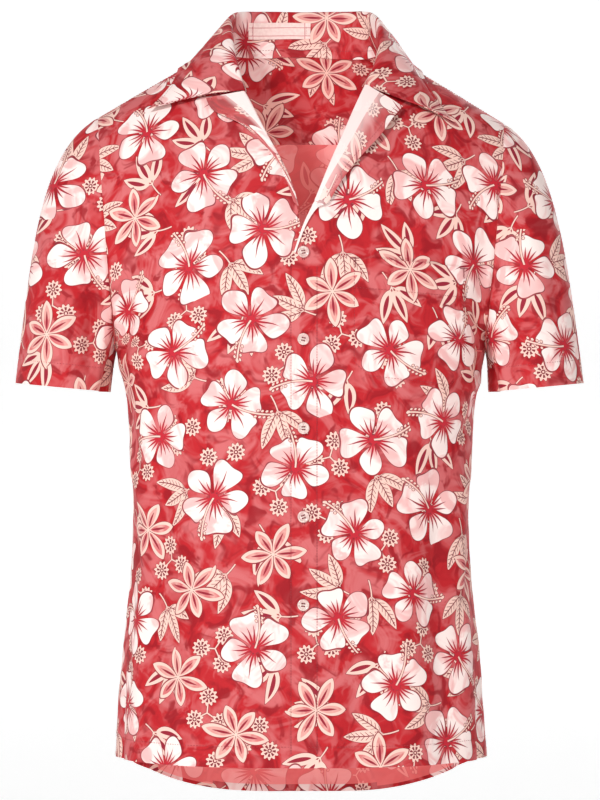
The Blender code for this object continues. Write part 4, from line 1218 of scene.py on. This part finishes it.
# Sleeves: short set-in tubes that leave the armhole along the shoulder's slope. The seam runs under the arm,
# and the cuff is a plain hem 23 mm deep.
CUFF_X = {-1: 0.2330, 1: 0.2300}
CUFF_Y = -0.006
CUFF_Z = -0.3063
CUFF_HALF_WIDTH = 0.0468
CUFF_HALF_DEPTH = 0.0670
CUFF_TILT = np.radians(5.4)
CUFF_HEM = 0.0230
CUFF_RUN = (-0.13, 0.0, 0.99)
SLEEVE_MIDDLE = (0.190, 0.0, -0.160)
UNDERARM_RUN = (0.25, 0.0, -0.97)
LEAD_AT_TOP = {-1: (0.250, 0.46), 1: (0.216, 0.48)}
LEAD_AT_UNDERARM = (0.33, 0.33)
SLEEVE_CUTS = {-1: (-1.92, 1.37), 1: (2.13, 0.71)}
SleeveFold = namedtuple("SleeveFold", "turn lean top bottom width depth")
SLEEVE_FOLDS = (
    SleeveFold(0.30, 0.06, 0.05, 0.85, 0.045, -0.0050),
    SleeveFold(0.20, 0.05, 0.15, 1.00, 0.045, 0.0035),
    SleeveFold(0.40, 0.02, 0.10, 1.00, 0.040, 0.0040),
    SleeveFold(0.365, 0.02, 0.30, 1.20, 0.030, 0.0040),
    SleeveFold(0.440, -0.01, 0.20, 1.25, 0.034, -0.0105),
    SleeveFold(0.72, -0.05, 0.05, 0.90, 0.050, -0.0050),
    SleeveFold(0.83, -0.03, 0.20, 1.00, 0.045, 0.0035),
    SleeveFold(0.36, -0.10, 0.00, 0.55, 0.018, -0.0018),
    SleeveFold(0.26, 0.10, 0.30, 0.95, 0.018, -0.0013),
    SleeveFold(0.12, 0.03, 0.25, 1.10, 0.022, -0.0012),
    SleeveFold(0.46, -0.04, 0.05, 0.80, 0.016, -0.0016),
    SleeveFold(0.64, 0.08, 0.00, 0.60, 0.018, -0.0018),
    SleeveFold(0.55, 0.04, 0.10, 0.90, 0.016, 0.0014),
    SleeveFold(0.78, -0.10, 0.20, 0.95, 0.020, -0.0014),
    SleeveFold(0.92, -0.03, 0.35, 1.10, 0.024, -0.0012),
)


def armhole_place(side, turn, share=1.0):
    """Points of the body round the armhole, or inside it at a share of the way from the centre line."""
    front = turn % 1.0 <= 0.5
    level = np.where(front, 2 - 2 * (turn % 1.0), 2 * (turn % 1.0))
    return np.where(front[..., None], *(on_body(face, level, side * share) for face in ("front", "back")))


def sleeve_sheet(side, turn, along):
    """A sleeve's cloth leaves the armhole along the body's own slope at the top and drops at the underarm."""
    mirror = (side, 1, 1)
    seam = armhole_place(side, turn)
    slope = unit(unit(seam - armhole_place(side, turn, 0.97)) * (1, 0.35, 1))
    angle = 2 * np.pi * turn
    down = ((1 - np.cos(angle)) / 2)[..., None]
    lead = unit(mix(slope, np.array(UNDERARM_RUN) * mirror, down))
    width = np.cos(angle) * CUFF_HALF_WIDTH
    cuff = np.stack([
        side * (CUFF_X[side] + width * np.cos(CUFF_TILT)),
        CUFF_Y - np.sin(angle) * CUFF_HALF_DEPTH,
        CUFF_Z + width * np.sin(CUFF_TILT),
    ], axis=-1)
    reach = np.linalg.norm(cuff - seam, axis=-1)[..., None]
    leave, arrive = (mix(LEAD_AT_TOP[side][k], LEAD_AT_UNDERARM[k], down) * reach for k in (0, 1))
    upper = seam + lead * leave
    lower = cuff + np.array(CUFF_RUN) * mirror * arrive
    t = along[..., None]
    placed = (1 - t) ** 3 * seam + 3 * (1 - t) ** 2 * t * upper + 3 * (1 - t) * t**2 * lower + t**3 * cuff
    cuff_middle = np.array((side * CUFF_X[side], CUFF_Y, CUFF_Z))
    outward = unit((placed - mix(np.array(SLEEVE_MIDDLE) * mirror, cuff_middle, t)) * (1, 1, 0.15))
    push = np.zeros(turn.shape)
    for fold in SLEEVE_FOLDS:
        share = np.clip((along - fold.top) / (fold.bottom - fold.top), 0, 1)
        away = (turn - fold.turn - fold.lean * along + 0.5) % 1 - 0.5
        push += fold.depth * np.sin(np.pi * share) * np.exp(-((away / fold.width) ** 2))
    return placed + outward * push[..., None]


def unrolled(points, side):
    """Lays a sleeve flat: breadths round an oval about its middle line, and heights along its axis."""
    share = (points[..., 2] - SLEEVE_MIDDLE[2]) / (CUFF_Z - SLEEVE_MIDDLE[2])
    x = (side * points[..., 0] - mix(SLEEVE_MIDDLE[0], CUFF_X[side], share)) / CUFF_HALF_WIDTH
    angle = np.unwrap(np.arctan2(-points[..., 1] / CUFF_HALF_DEPTH, x), axis=1)
    top = angle.shape[1] // 2
    angle -= 2 * np.pi * np.round(angle[:, top:top + 1] / (2 * np.pi))
    turns = np.linspace(-1.2 * np.pi, 1.2 * np.pi, 481)
    speed = np.hypot(CUFF_HALF_WIDTH * np.sin(turns), CUFF_HALF_DEPTH * np.cos(turns))
    round_it = np.concatenate([[0], np.cumsum((speed[1:] + speed[:-1]) / 2) * (turns[1] - turns[0])])
    axis = unit(np.array((side * 0.24, 0, -0.97)))
    return np.stack([np.interp(angle, turns, round_it), -(points @ axis)], axis=-1)


def tube_normals(points):
    """Normals of a grid whose last column lies on its first."""
    ring = points[:, :-1]
    across = np.roll(ring, -1, axis=1) - np.roll(ring, 1, axis=1)
    normals = unit(np.cross(across, np.gradient(ring, axis=0)))
    return np.concatenate([normals, normals[:, :1]], axis=1)


for side, hand in ((-1, "right"), (1, "left")):
    turn, along = grid_of(np.linspace(0.5, 1.5, 181), spaced(96, 0.24)[::-1])
    sheet = sleeve_sheet(side, turn, along)
    normals = tube_normals(sheet) * -side
    spread = unrolled(sheet, side)
    _, _, to_first, to_last = from_edges(spread)
    to_cuff = flattened(sheet, 0, sheet.shape[1] // 2)[..., 1]
    to_armhole = to_cuff[-1] - to_cuff
    relief = (
        dip(to_cuff - CUFF_HEM, 0.0011, 0.0004) + pucker(spread[..., 0], to_cuff - CUFF_HEM)
        + dip(to_armhole, 0.0022, 0.0008) + pucker(spread[..., 0], to_armhole, 0.0003)
        + dip(to_first, 0.0015, 0.0005) + dip(to_last, 0.0015, 0.0005)
    )
    wall, turned_up = turned_hem(to_cuff, CUFF_HEM, 0.0004)
    outer = sheet + normals * relief[..., None]
    inner = outer - normals * wall[..., None]
    sleeve = panel("sleeve_" + hand, outer[:, :-1], inner[:, :-1], spread + SLEEVE_CUTS[side],
                   (printed_cloth, wrong_side), hemmed=turned_up, tube=True)
    on_root(sleeve, "sleeve_" + hand)
    columns = np.arange(spread.shape[1])
    heights = np.array([np.interp(CUFF_HEM, column, np.arange(len(spread))) for column in to_cuff.T])
    line = read(outer, heights, columns) + THREAD_LIFT * normals[20]
    sewn("stitches_sleeve_" + hand, [line], red_thread)


# Lapels: the upper ends of the fronts, turned out from a soft roll along the open neck. They show the
# facing's printed side, and along the roll its pale wrong side under a painted highlight.
LAPEL_WALL = 0.0008
LAPEL_STITCH = 0.0050
LEVEL_ROW = 45
ROLL_SHARE = 0.24
# Strips along each roll that show the pale wrong side under a painted highlight: width at top and bottom,
# where it ends, sharpness.
HighlitStrip = namedtuple("HighlitStrip", "top bottom ends_at sharpness")
HIGHLIT_STRIPS = {-1: HighlitStrip(0.0180, -0.0040, 0.55, 3.0), 1: HighlitStrip(0.0140, 0.0030, 0.66, 1.3)}
Lapel = namedtuple("Lapel", "at roll_x roll_z edge_x edge_z lift")
RIGHT_LAPEL = (
    Lapel(0.000, 0.0556, -0.0224, 0.0905, -0.0292, 0.0045),
    Lapel(0.143, 0.0505, -0.0315, 0.0850, -0.0400, 0.0045),
    Lapel(0.286, 0.0430, -0.0460, 0.0725, -0.0470, 0.0040),
    Lapel(0.429, 0.0330, -0.0650, 0.0555, -0.0555, 0.0035),
    Lapel(0.571, 0.0191, -0.0900, 0.0385, -0.0715, 0.0030),
    Lapel(0.714, 0.0110, -0.1080, 0.0245, -0.0880, 0.0026),
    Lapel(0.857, 0.0062, -0.1215, 0.0135, -0.1110, 0.0024),
    Lapel(1.000, 0.0030, -0.1330, 0.0075, -0.1290, 0.0022),
)
LEFT_LAPEL = (
    Lapel(0.000, 0.0629, -0.0160, 0.0960, -0.0385, 0.0070),
    Lapel(0.112, 0.0585, -0.0255, 0.0860, -0.0510, 0.0075),
    Lapel(0.223, 0.0515, -0.0410, 0.0765, -0.0645, 0.0070),
    Lapel(0.335, 0.0425, -0.0615, 0.0615, -0.0810, 0.0060),
    Lapel(0.445, 0.0345, -0.0795, 0.0495, -0.0945, 0.0050),
    Lapel(0.557, 0.0270, -0.0970, 0.0355, -0.1140, 0.0045),
    Lapel(0.669, 0.0190, -0.1160, 0.0255, -0.1300, 0.0035),
    Lapel(0.780, 0.0124, -0.1311, 0.0150, -0.1360, 0.0024),
    Lapel(0.890, 0.0031, -0.1500, 0.0047, -0.1518, 0.0018),
    Lapel(1.000, -0.0062, -0.1770, -0.0052, -0.1782, 0.0014),
)
LAPELS = {-1: RIGHT_LAPEL, 1: LEFT_LAPEL}


def lapel_sheet(side, across, along):
    """From the front's edge round the roll and out to the lapel's edge, which stands off the front."""
    down = 1 - along
    columns = Lapel._fields[1:]
    roll_x, roll_z, edge_x, edge_z, lift = (smooth(LAPELS[side], "at", key, down) for key in columns)
    radius = np.minimum(0.0019, lift * 0.45) * mix(1.0, 0.6, down)
    bend = np.clip(across / ROLL_SHARE, 0, 1)
    t = np.clip((across - ROLL_SHARE) / (1 - ROLL_SHARE), 0, 1)
    x = mix(roll_x, edge_x, t) - radius * np.sin(np.pi * bend)
    z = mix(roll_z, edge_z, t)
    out = radius * (1 - np.cos(np.pi * bend)) + (lift - 2 * radius) * ease(t, -0.1, 1.0)
    return on_front(x * side, z, 0.0002 + np.maximum(side * closure_step(x), 0) + out)


def grid_normals(points):
    return unit(np.cross(np.gradient(points, axis=1), np.gradient(points, axis=0)))


def past_highlit_strip(strip, sheet, down):
    """How far each place of a lapel lies past the pale strip along its roll, which carries a painted
    highlight.
    """
    reach = np.hypot(sheet[..., 0] - sheet[:, :1, 0], sheet[..., 2] - sheet[:, :1, 2])
    width = mix(strip.top, strip.bottom, np.clip(down / strip.ends_at, 0, 1))
    return (reach - width)[..., None] * strip.sharpness


for side, hand in ((-1, "right"), (1, "left")):
    fall = ROLL_SHARE + (1 - ROLL_SHARE) * spaced(30, 0.03)
    across, along = grid_of(np.concatenate([np.linspace(0, ROLL_SHARE, 14)[:-1], fall]), spaced(90, 0.13))
    sheet = lapel_sheet(side, across, along)
    columns = sheet.shape[1]
    normals = grid_normals(sheet)
    normals *= -np.sign(normals[LEVEL_ROW, -3, 1])
    spread = flattened(sheet, LEVEL_ROW, columns // 2)
    to_edge = spread[:, -1:, 0] - spread[..., 0]
    thin = (0.5 + 0.5 * ease(to_edge, -0.0004, 0.0025))[..., None] * LAPEL_WALL / 2
    to_line = to_edge - LAPEL_STITCH
    relief = dip(to_line, 0.0008, 0.0003) + pucker(spread[..., 1], to_line, 0.00015)
    outer = sheet + normals * (thin + relief[..., None])
    inner = sheet - normals * thin
    # The second map sets where the pale strip with its painted highlight along the roll ends.
    flat = [spread + (0.77, 3.10 + side), past_highlit_strip(HIGHLIT_STRIPS[side], sheet, 1 - along)]
    looks = (folded_cloth, folded_cloth)
    lapel = panel("lapel_" + hand, outer, inner, np.concatenate(flat, axis=-1), looks)
    on_root(lapel, "lapel_" + hand)
    rows = np.array([k for k in range(3, len(spread) - 3) if to_edge[k, 0] > LAPEL_STITCH * 1.7])
    at = np.array([np.interp(-LAPEL_STITCH, -to_edge[k], np.arange(columns)) for k in rows])
    sewn("stitches_lapel_" + hand, [read(outer, rows, at)], red_thread)


# Collar: a one-piece camp collar, two layers and an interlining. It stands up from the neck seam, rolls over,
# and falls onto the shoulders to a point on each front, with a row of stitches 5.5 mm inside its edge.
COLLAR_WALL = 0.0012
COLLAR_STITCH = 0.0055
STAND_STITCH = 0.0078
NECK_SEAM_LENGTH = 0.40
Station = namedtuple("Station", "at roll_x roll_y roll_z edge_x edge_y edge_z")
RIGHT_COLLAR = (
    Station(0.00, 0.0000, 0.083, 0.0650, 0.0000, 0.113, -0.004),
    Station(0.20, 0.0400, 0.077, 0.0650, 0.0520, 0.108, -0.004),
    Station(0.35, 0.0620, 0.056, 0.0625, 0.0920, 0.083, -0.003),
    Station(0.45, 0.0675, 0.033, 0.0560, 0.1110, 0.048, -0.001),
    Station(0.60, 0.0662, 0.005, 0.0430, 0.1170, 0.012, 0.004),
    Station(0.72, 0.0645, -0.022, 0.0270, 0.1220, -0.018, -0.004),
    Station(0.85, 0.0605, -0.048, 0.0055, 0.1330, -0.041, -0.021),
    Station(1.00, 0.0541, -0.070, -0.0203, 0.1464, -0.054, -0.0403),
)
LEFT_COLLAR = (
    Station(0.00, 0.0000, 0.083, 0.0650, 0.0000, 0.113, -0.004),
    Station(0.20, 0.0410, 0.077, 0.0650, 0.0520, 0.108, -0.004),
    Station(0.35, 0.0655, 0.056, 0.0630, 0.0920, 0.083, -0.003),
    Station(0.45, 0.0720, 0.033, 0.0565, 0.1100, 0.048, -0.001),
    Station(0.60, 0.0750, 0.005, 0.0425, 0.1150, 0.012, 0.002),
    Station(0.72, 0.0750, -0.022, 0.0265, 0.1200, -0.018, -0.008),
    Station(0.85, 0.0705, -0.044, 0.0050, 0.1320, -0.042, -0.028),
    Station(1.00, 0.0610, -0.063, -0.0145, 0.1454, -0.062, -0.0536),
)
COLLARS = {-1: RIGHT_COLLAR, 1: LEFT_COLLAR}
End = namedtuple("End", "at x z out")
RIGHT_END = (
    End(0.00, 0.0541, -0.0203, 0.0015), End(0.12, 0.0620, -0.0215, 0.0025),
    End(0.40, 0.0905, -0.0262, 0.0050), End(0.70, 0.1190, -0.0335, 0.0065),
    End(1.00, 0.1464, -0.0403, 0.0070),
)
LEFT_END = (
    End(0.00, 0.0610, -0.0145, 0.0015), End(0.12, 0.0680, -0.0185, 0.0030),
    End(0.42, 0.0960, -0.0325, 0.0080), End(0.70, 0.1200, -0.0420, 0.0090),
    End(1.00, 0.1454, -0.0536, 0.0080),
)
COLLAR_ENDS = {-1: RIGHT_END, 1: LEFT_END}
STAND_AT_FRONT = 0.0035
STAND_SHARE = 0.3
FALL_BULGE = 0.006
FALL_CLEAR = 0.0024
NECK_POINTS = 81
LINE_POINTS = 240
SMOOTH_REACH = 24


def neckline(side):
    """Points of the neck seam from the middle of the back to the front end of the collar, evenly spaced."""
    rear = on_body("back", NECK_BACK[:, 0], NECK_BACK[:, 1] * side)
    z = np.linspace(rear[-1, 2], COLLARS[side][-1].roll_z, 25)[1:]
    fore = on_front(smooth(NECK_EDGES[side], "z", "x", z) * side, z, 0.0)
    points = np.concatenate([rear, fore])
    run = run_along(points)
    return read_line(np.linspace(0, run[-1], NECK_POINTS), run, points)


def shoulder_tree():
    """The shoulders as one surface, for keeping the collar's fall clear of them."""
    corners, polygons = [], []
    for face in ("front", "back"):
        points = FORMS[face][0][200::2, ::3]
        start = len(corners)
        rows, columns = points.shape[:2]
        corners.extend(map(Vector, points.reshape(-1, 3)))
        for i in range(rows - 1):
            for j in range(columns - 1):
                a = start + i * columns + j
                polygons.append((a, a + 1, a + columns + 1, a + columns))
    return BVHTree.FromPolygons(corners, polygons)


def kept_clear(points, tree, clear):
    """Points moved out from the shoulders until each is at least this clear of them."""
    moved = []
    for point in points:
        near, _, _, distance = tree.find_nearest(Vector(point))
        away = Vector(point) - near
        up = Vector((near.x * 0.3, near.y, abs(near.x) * 0.6 + 0.05)).normalized()
        inside = away.dot(up) < 0
        if inside or distance < clear:
            point = near + (up if inside or distance < 1e-6 else away / distance) * clear
        moved.append(tuple(point))
    return np.array(moved)


def smoothed(line, reach):
    """A line of evenly spaced points averaged over this many points to each side."""
    kernel = np.exp(-((np.arange(-SMOOTH_REACH, SMOOTH_REACH + 1) / reach) ** 2))
    before = 2 * line[0] - line[SMOOTH_REACH:0:-1]
    after = 2 * line[-1] - line[-2:-2 - SMOOTH_REACH:-1]
    padded = np.concatenate([before, line, after])
    return np.stack([np.convolve(column, kernel / kernel.sum(), "valid") for column in padded.T], axis=1)


def collar_line(signed, tree):
    """One section of the collar, evenly spaced: its points, and the share of its length that is the stand."""
    side = -1 if signed <= 0 else 1
    mirror = (side, 1, 1)
    at = np.abs(signed)
    roll, edge = (
        np.array([float(smooth(COLLARS[side], "at", part + k, at)) for k in "xyz"]) * mirror
        for part in ("roll_", "edge_")
    )
    inward = unit(np.array([-roll[0], -roll[1], 0]))
    last = float(ease(at, 0.80, 1.0))
    seam = read_line(at, np.linspace(0, 1, NECK_POINTS), SEAMS[side]) + inward * 0.0007 + (0, 0, -0.0018)
    seam = mix(seam, roll + STAND_AT_FRONT * np.array((-0.5 * side, 1, -0.2)), last)
    crown = roll + (0, 0, 0.004) - inward * 0.003
    middle = mix(crown, edge, 0.45) + unit(-inward * 0.8 + (0, 0, 0.6)) * FALL_BULGE
    t = np.linspace(0, 1, 60)
    drop = t[:, None]
    fall = (1 - drop) ** 2 * crown + 2 * (1 - drop) * drop * middle + drop**2 * edge
    x, z, out = (smooth(COLLAR_ENDS[side], "at", key, t) for key in ("x", "z", "out"))
    lying = on_front(x * side, z, out + COLLAR_WALL / 2)
    fall = mix(kept_clear(fall, tree, FALL_CLEAR), lying, last)
    stand = mix(seam, roll, np.linspace(0, 1, 30)[:, None])
    line = np.concatenate([stand, fall])
    run = run_along(line)
    even = np.linspace(0, run[-1], LINE_POINTS)
    reach = mix(0.0032, 0.0016, last) / (even[1] - even[0])
    return smoothed(read_line(even, run, line), reach), np.linalg.norm(roll - seam) / run[-1]


def collar_sheet(across, profile):
    """The collar from its neck seam up the stand, over the roll and down the fall, and from end to end."""
    tree = shoulder_tree()
    sheet = np.zeros((len(profile), len(across), 3))
    for column, signed in enumerate(mix(-1, 1, across)):
        line, roll_at = collar_line(signed, tree)
        places = np.interp(profile, [0, STAND_SHARE, 1], [0, roll_at, 1])
        sheet[:, column] = read_line(places, np.linspace(0, 1, LINE_POINTS), line)
    return sheet


SEAMS = {side: neckline(side) for side in (-1, 1)}
ROLL_FROM, ROLL_TO = 0.22, 0.40
collar_across = spaced(190, 0.46)
collar_up = np.concatenate([
    np.linspace(0, ROLL_FROM, 14)[:-1], np.linspace(ROLL_FROM, ROLL_TO, 18)[:-1],
    ROLL_TO + (1 - ROLL_TO) * spaced(44, 0.06),
])
columns, rows = np.arange(len(collar_across)), np.arange(len(collar_up))
back_middle = len(columns) // 2
sheet = collar_sheet(collar_across, collar_up)
normals = grid_normals(sheet)
facing = normals * -np.sign(normals[3, back_middle, 1])
spread = flattened(sheet, 22, back_middle)
from_seam, to_edge, _, _ = from_edges(spread)
to_end = np.minimum(collar_across, 1 - collar_across) * NECK_SEAM_LENGTH * np.ones(to_edge.shape)
thin = np.minimum(ease(to_edge, -0.0004, 0.0030), ease(to_end, -0.0004, 0.0030)) * 0.6 + 0.4
relief = dip(np.minimum(to_edge, to_end) - COLLAR_STITCH, 0.0009, 0.0003)
relief = relief + pucker(spread[..., 0], to_edge - COLLAR_STITCH, 0.00012)
half = (COLLAR_WALL / 2 * thin)[..., None]
collar_face = sheet + facing * (half + relief[..., None])
under = sheet - facing * half
collar = panel("collar", collar_face, under, spread + (0.61, 2.64), (printed_cloth, printed_cloth))
on_root(collar, "collar")

beside_middle = back_middle - 3
end = COLLAR_STITCH / NECK_SEAM_LENGTH
first, last = np.interp((end, 1 - end), collar_across, columns)
kept = columns[(columns >= 6) & (columns < len(columns) - 6) & (columns > first) & (columns < last)]
edge_rows = np.array([np.interp(-COLLAR_STITCH, -to_edge[:, k], rows) for k in kept])
end_rows = rows[2:-2][(collar_up[2:-2] > 0.42) & (to_edge[2:-2, beside_middle] > COLLAR_STITCH)]
sewn("stitches_collar", [
    read(collar_face, edge_rows, kept),
    read(collar_face, end_rows, np.full(len(end_rows), first)),
    read(collar_face, end_rows, np.full(len(end_rows), last)),
], red_thread)
stand_row = np.interp(STAND_STITCH, from_seam[:, beside_middle], rows)
stand_columns = columns[26:-26]
line = read(collar_face, np.full(len(stand_columns), stand_row), stand_columns)
sewn("stitches_stand", [line], dark_thread)


# Label: a plain woven tape, left blank, sewn flat inside the collar stand with a few stitches at each end.
# A slightly darker border is woven in round it.
LABEL_TURNS = (-0.270, 0.045)
LABEL_HEIGHTS = (0.42, 0.80)
LABEL_BORDER = (0.0042, 0.0270)


def label_material():
    """Satin-woven tape in a pale pink, with a slightly darker woven border."""
    made, tree, shader = new_look("label_tape", {"Roughness": 0.55})
    tape = on_map(tree, "cloth")
    x, y, _ = parts(tape)
    along_border, across_border = (
        abs(abs(place) - inset).within(0.0004, 0.0001) for place, inset in zip((y, x), LABEL_BORDER)
    )
    cloud = tape.clouds(300.0, 2.0, "2D")
    colour = cloud.between(0.3, 0.7).mixed((0.82, 0.60, 0.56, 1), (0.88, 0.68, 0.63, 1))
    colour = (along_border.most(across_border) * 0.8).mixed(colour, (0.52, 0.12, 0.13, 1))
    ribs = (y * 9000).sine() * 0.5 + (x * 5000).sine() * 0.5
    tree.links.new(colour.socket, shader.inputs["Base Color"])
    tree.links.new(ribs.bump(0.4, 0.0001).socket, shader.inputs["Normal"])
    return made


label_tape = label_material()
across, along = grid_of(spaced(50, 0.06), spaced(16, 0.011))
at = (
    np.interp(mix(*LABEL_HEIGHTS, along) * STAND_SHARE, collar_up, rows),
    np.interp((mix(*LABEL_TURNS, across) + 1) / 2, collar_across, columns),
)
sheet = read(collar_face, *at)
normals = unit(read(facing, *at))
spread = flattened(sheet, 9, sheet.shape[1] // 2)
spread -= (spread[..., :1].mean(), 0)
loft = 0.0003 + 0.0004 * ease(np.minimum(*from_edges(spread)[2:]), 0.001, 0.008)
outer = sheet + normals * (loft + 0.0003)[..., None]
inner = sheet + normals * (loft - 0.0001)[..., None]
label = panel("neck_label", outer, inner, spread, (label_tape, label_tape))
on_root(label, "neck_label", slot="label_cloth")
lines = [outer[3:-3, 4] + THREAD_LIFT * normals[3:-3, 4], outer[3:-3, -5]]
sewn("stitches_label", lines, red_thread, pitch=0.0014, length=0.0011)


# Buttons: five pearl-like discs of 11.4 mm with a raised rim and four holes, each sewn on with two bars of
# thread. A stitched upright buttonhole shows a little above and below each one.
BUTTON_HEIGHTS = (-0.1772, -0.2602, -0.3452, -0.4302, -0.5143)
BUTTON_TURNS = (8, -14, 3, 21, -6)
BUTTON_LIFT = 0.0006
BUTTON_RADIUS = 0.0057
BUTTON_THICK = 0.0026
HOLE_SPREAD = 0.0013
HOLE_RADIUS = 0.0007
BUTTONHOLE = (0.0072, 0.0009)
THREAD_BAR_RADIUS = 0.00042


def pearl_material():
    """Pearl-like polyester: soft clouded bands in pinkish white under a clear gloss."""
    made, tree, shader = new_look("pearl", {"Coat Weight": 0.5, "Coat Roughness": 0.08})
    place = Dye(tree, tree.nodes.new("ShaderNodeTexCoord").outputs["Object"])
    cloud = place.clouds(260.0, 3.0, Distortion=1.5)
    band = place.clouds(90.0, 1.0)
    colour = cloud.between(0.35, 0.68).mixed((0.62, 0.44, 0.40, 1), (0.80, 0.66, 0.60, 1))
    colour = (band.between(0.45, 0.70) * 0.5).mixed(colour, (0.60, 0.32, 0.31, 1))
    tree.links.new(colour.socket, shader.inputs["Base Color"])
    tree.links.new((cloud.between(0.3, 0.7) * 0.12 + 0.20).socket, shader.inputs["Roughness"])
    return made


def into_mesh(name, shape):
    mesh = bpy.data.meshes.new(name)
    shape.to_mesh(mesh)
    shape.free()
    return mesh


def in_fixed_order(mesh):
    """The same mesh, sorted: boring leaves its corners and faces in another order each run."""
    points = np.array([corner.co for corner in mesh.vertices])
    order = np.lexsort(points.T)
    rank = np.argsort(order)
    rings = []
    for face in mesh.polygons:
        ring = rank[list(face.vertices)].tolist()
        first = ring.index(min(ring))
        rings.append(ring[first:] + ring[:first])
    mesh.clear_geometry()
    mesh.from_pydata(points[order].tolist(), [], sorted(rings))
    return mesh


def button_mesh():
    """A turned disc with a round rim and a dished middle, with four holes bored through it."""
    h, r = BUTTON_THICK / 2, BUTTON_RADIUS
    profile = [
        (0, -h), (r * 0.80, -h), (r * 0.93, -h * 0.75), (r, -h * 0.15), (r, h * 0.35), (r * 0.95, h * 0.85),
        (r * 0.87, h), (r * 0.78, h * 0.92), (r * 0.68, h * 0.45), (r * 0.58, h * 0.32), (0, h * 0.28),
    ]
    disc = bmesh.new()
    corners = [disc.verts.new((x, 0, z)) for x, z in profile]
    edges = [disc.edges.new(pair) for pair in zip(corners, corners[1:])]
    bmesh.ops.spin(disc, geom=corners + edges, cent=(0, 0, 0), axis=(0, 0, 1), angle=2 * np.pi, steps=48)
    bmesh.ops.remove_doubles(disc, verts=disc.verts, dist=1e-6)
    bmesh.ops.recalc_face_normals(disc, faces=disc.faces)
    blank = in_scene("button_blank", into_mesh("button_disc", disc))
    drills = []
    for across, up in ((-1, -1), (-1, 1), (1, -1), (1, 1)):
        bit = bmesh.new()
        sizes = {"radius1": HOLE_RADIUS, "radius2": HOLE_RADIUS, "depth": BUTTON_THICK * 3}
        bmesh.ops.create_cone(bit, segments=16, cap_ends=True, **sizes)
        bmesh.ops.translate(bit, vec=(across * HOLE_SPREAD, up * HOLE_SPREAD, 0), verts=bit.verts)
        drills.append(in_scene("drill", into_mesh("drill", bit)))
        blank.modifiers.new("Hole", "BOOLEAN").object = drills[-1]
    bored = in_fixed_order(mesh_of(blank, *drills))
    bored.materials.clear()
    bored.shade_smooth()
    bored.set_sharp_from_angle(angle=np.radians(40))
    return bored


def thread_bar(shift):
    """A bar of thread from one hole up over the button's face and down the next."""
    top = BUTTON_THICK * 0.14
    rise = [(HOLE_SPREAD, -0.0010), (HOLE_SPREAD, top), (HOLE_SPREAD * 0.6, top + 0.0005)]
    path = [(-x, z) for x, z in rise] + [(0, top + 0.0006)] + rise[::-1]
    curve = bpy.data.curves.new("thread", "CURVE")
    curve.dimensions = "3D"
    curve.bevel_depth = THREAD_BAR_RADIUS
    curve.bevel_resolution = 3
    curve.use_fill_caps = True
    line = curve.splines.new("NURBS")
    line.points.add(len(path) - 1)
    line.order_u = 3
    line.use_endpoint_u = True
    for point, (x, z) in zip(line.points, path):
        point.co = (x, shift, z, 1)
    return mesh_of(in_scene("thread", curve))


def sewn_button(name, height, turn):
    """One button with its two bars of thread, set upright on the front at this height."""
    joined = bmesh.new()
    joined.from_mesh(disc_mesh)
    for thread in thread_meshes:
        start = len(joined.faces)
        joined.from_mesh(thread)
        joined.faces.ensure_lookup_table()
        for face in joined.faces[start:]:
            face.material_index = 1
            face.smooth = True
    base, above = on_front(CENTRE_X, height, closure_step(CENTRE_X) + np.array((0, 0.001)))
    normal = Vector(unit(above - base))
    facing_out = normal.to_track_quat("Z", "Y").to_matrix().to_4x4()
    place = Matrix.Translation(Vector(base) + normal * (BUTTON_LIFT + BUTTON_THICK / 2))
    joined.transform(place @ facing_out @ Matrix.Rotation(np.radians(turn), 4, "Z"))
    mesh = into_mesh(name, joined)
    mesh.materials.append(pearl)
    mesh.materials.append(dark_thread)
    return in_scene(name + "_disc", mesh)


pearl = pearl_material()
disc_mesh = button_mesh()
thread_meshes = [thread_bar(shift) for shift in (-HOLE_SPREAD, HOLE_SPREAD)]
buttonholes = []
half_length, half_width = BUTTONHOLE
for number, (height, turn) in enumerate(zip(BUTTON_HEIGHTS, BUTTON_TURNS), start=1):
    name = "button_" + str(number)
    on_root(sewn_button(name, height, turn), name, slot="buttons")
    z = np.linspace(height - half_length, height + half_length, 24)
    for x in (CENTRE_X - half_width, CENTRE_X + half_width):
        buttonholes.append(on_front(x, z, closure_step(CENTRE_X) + 0.0001))
sewn("buttonholes", buttonholes, red_thread, **BAR_TACK)
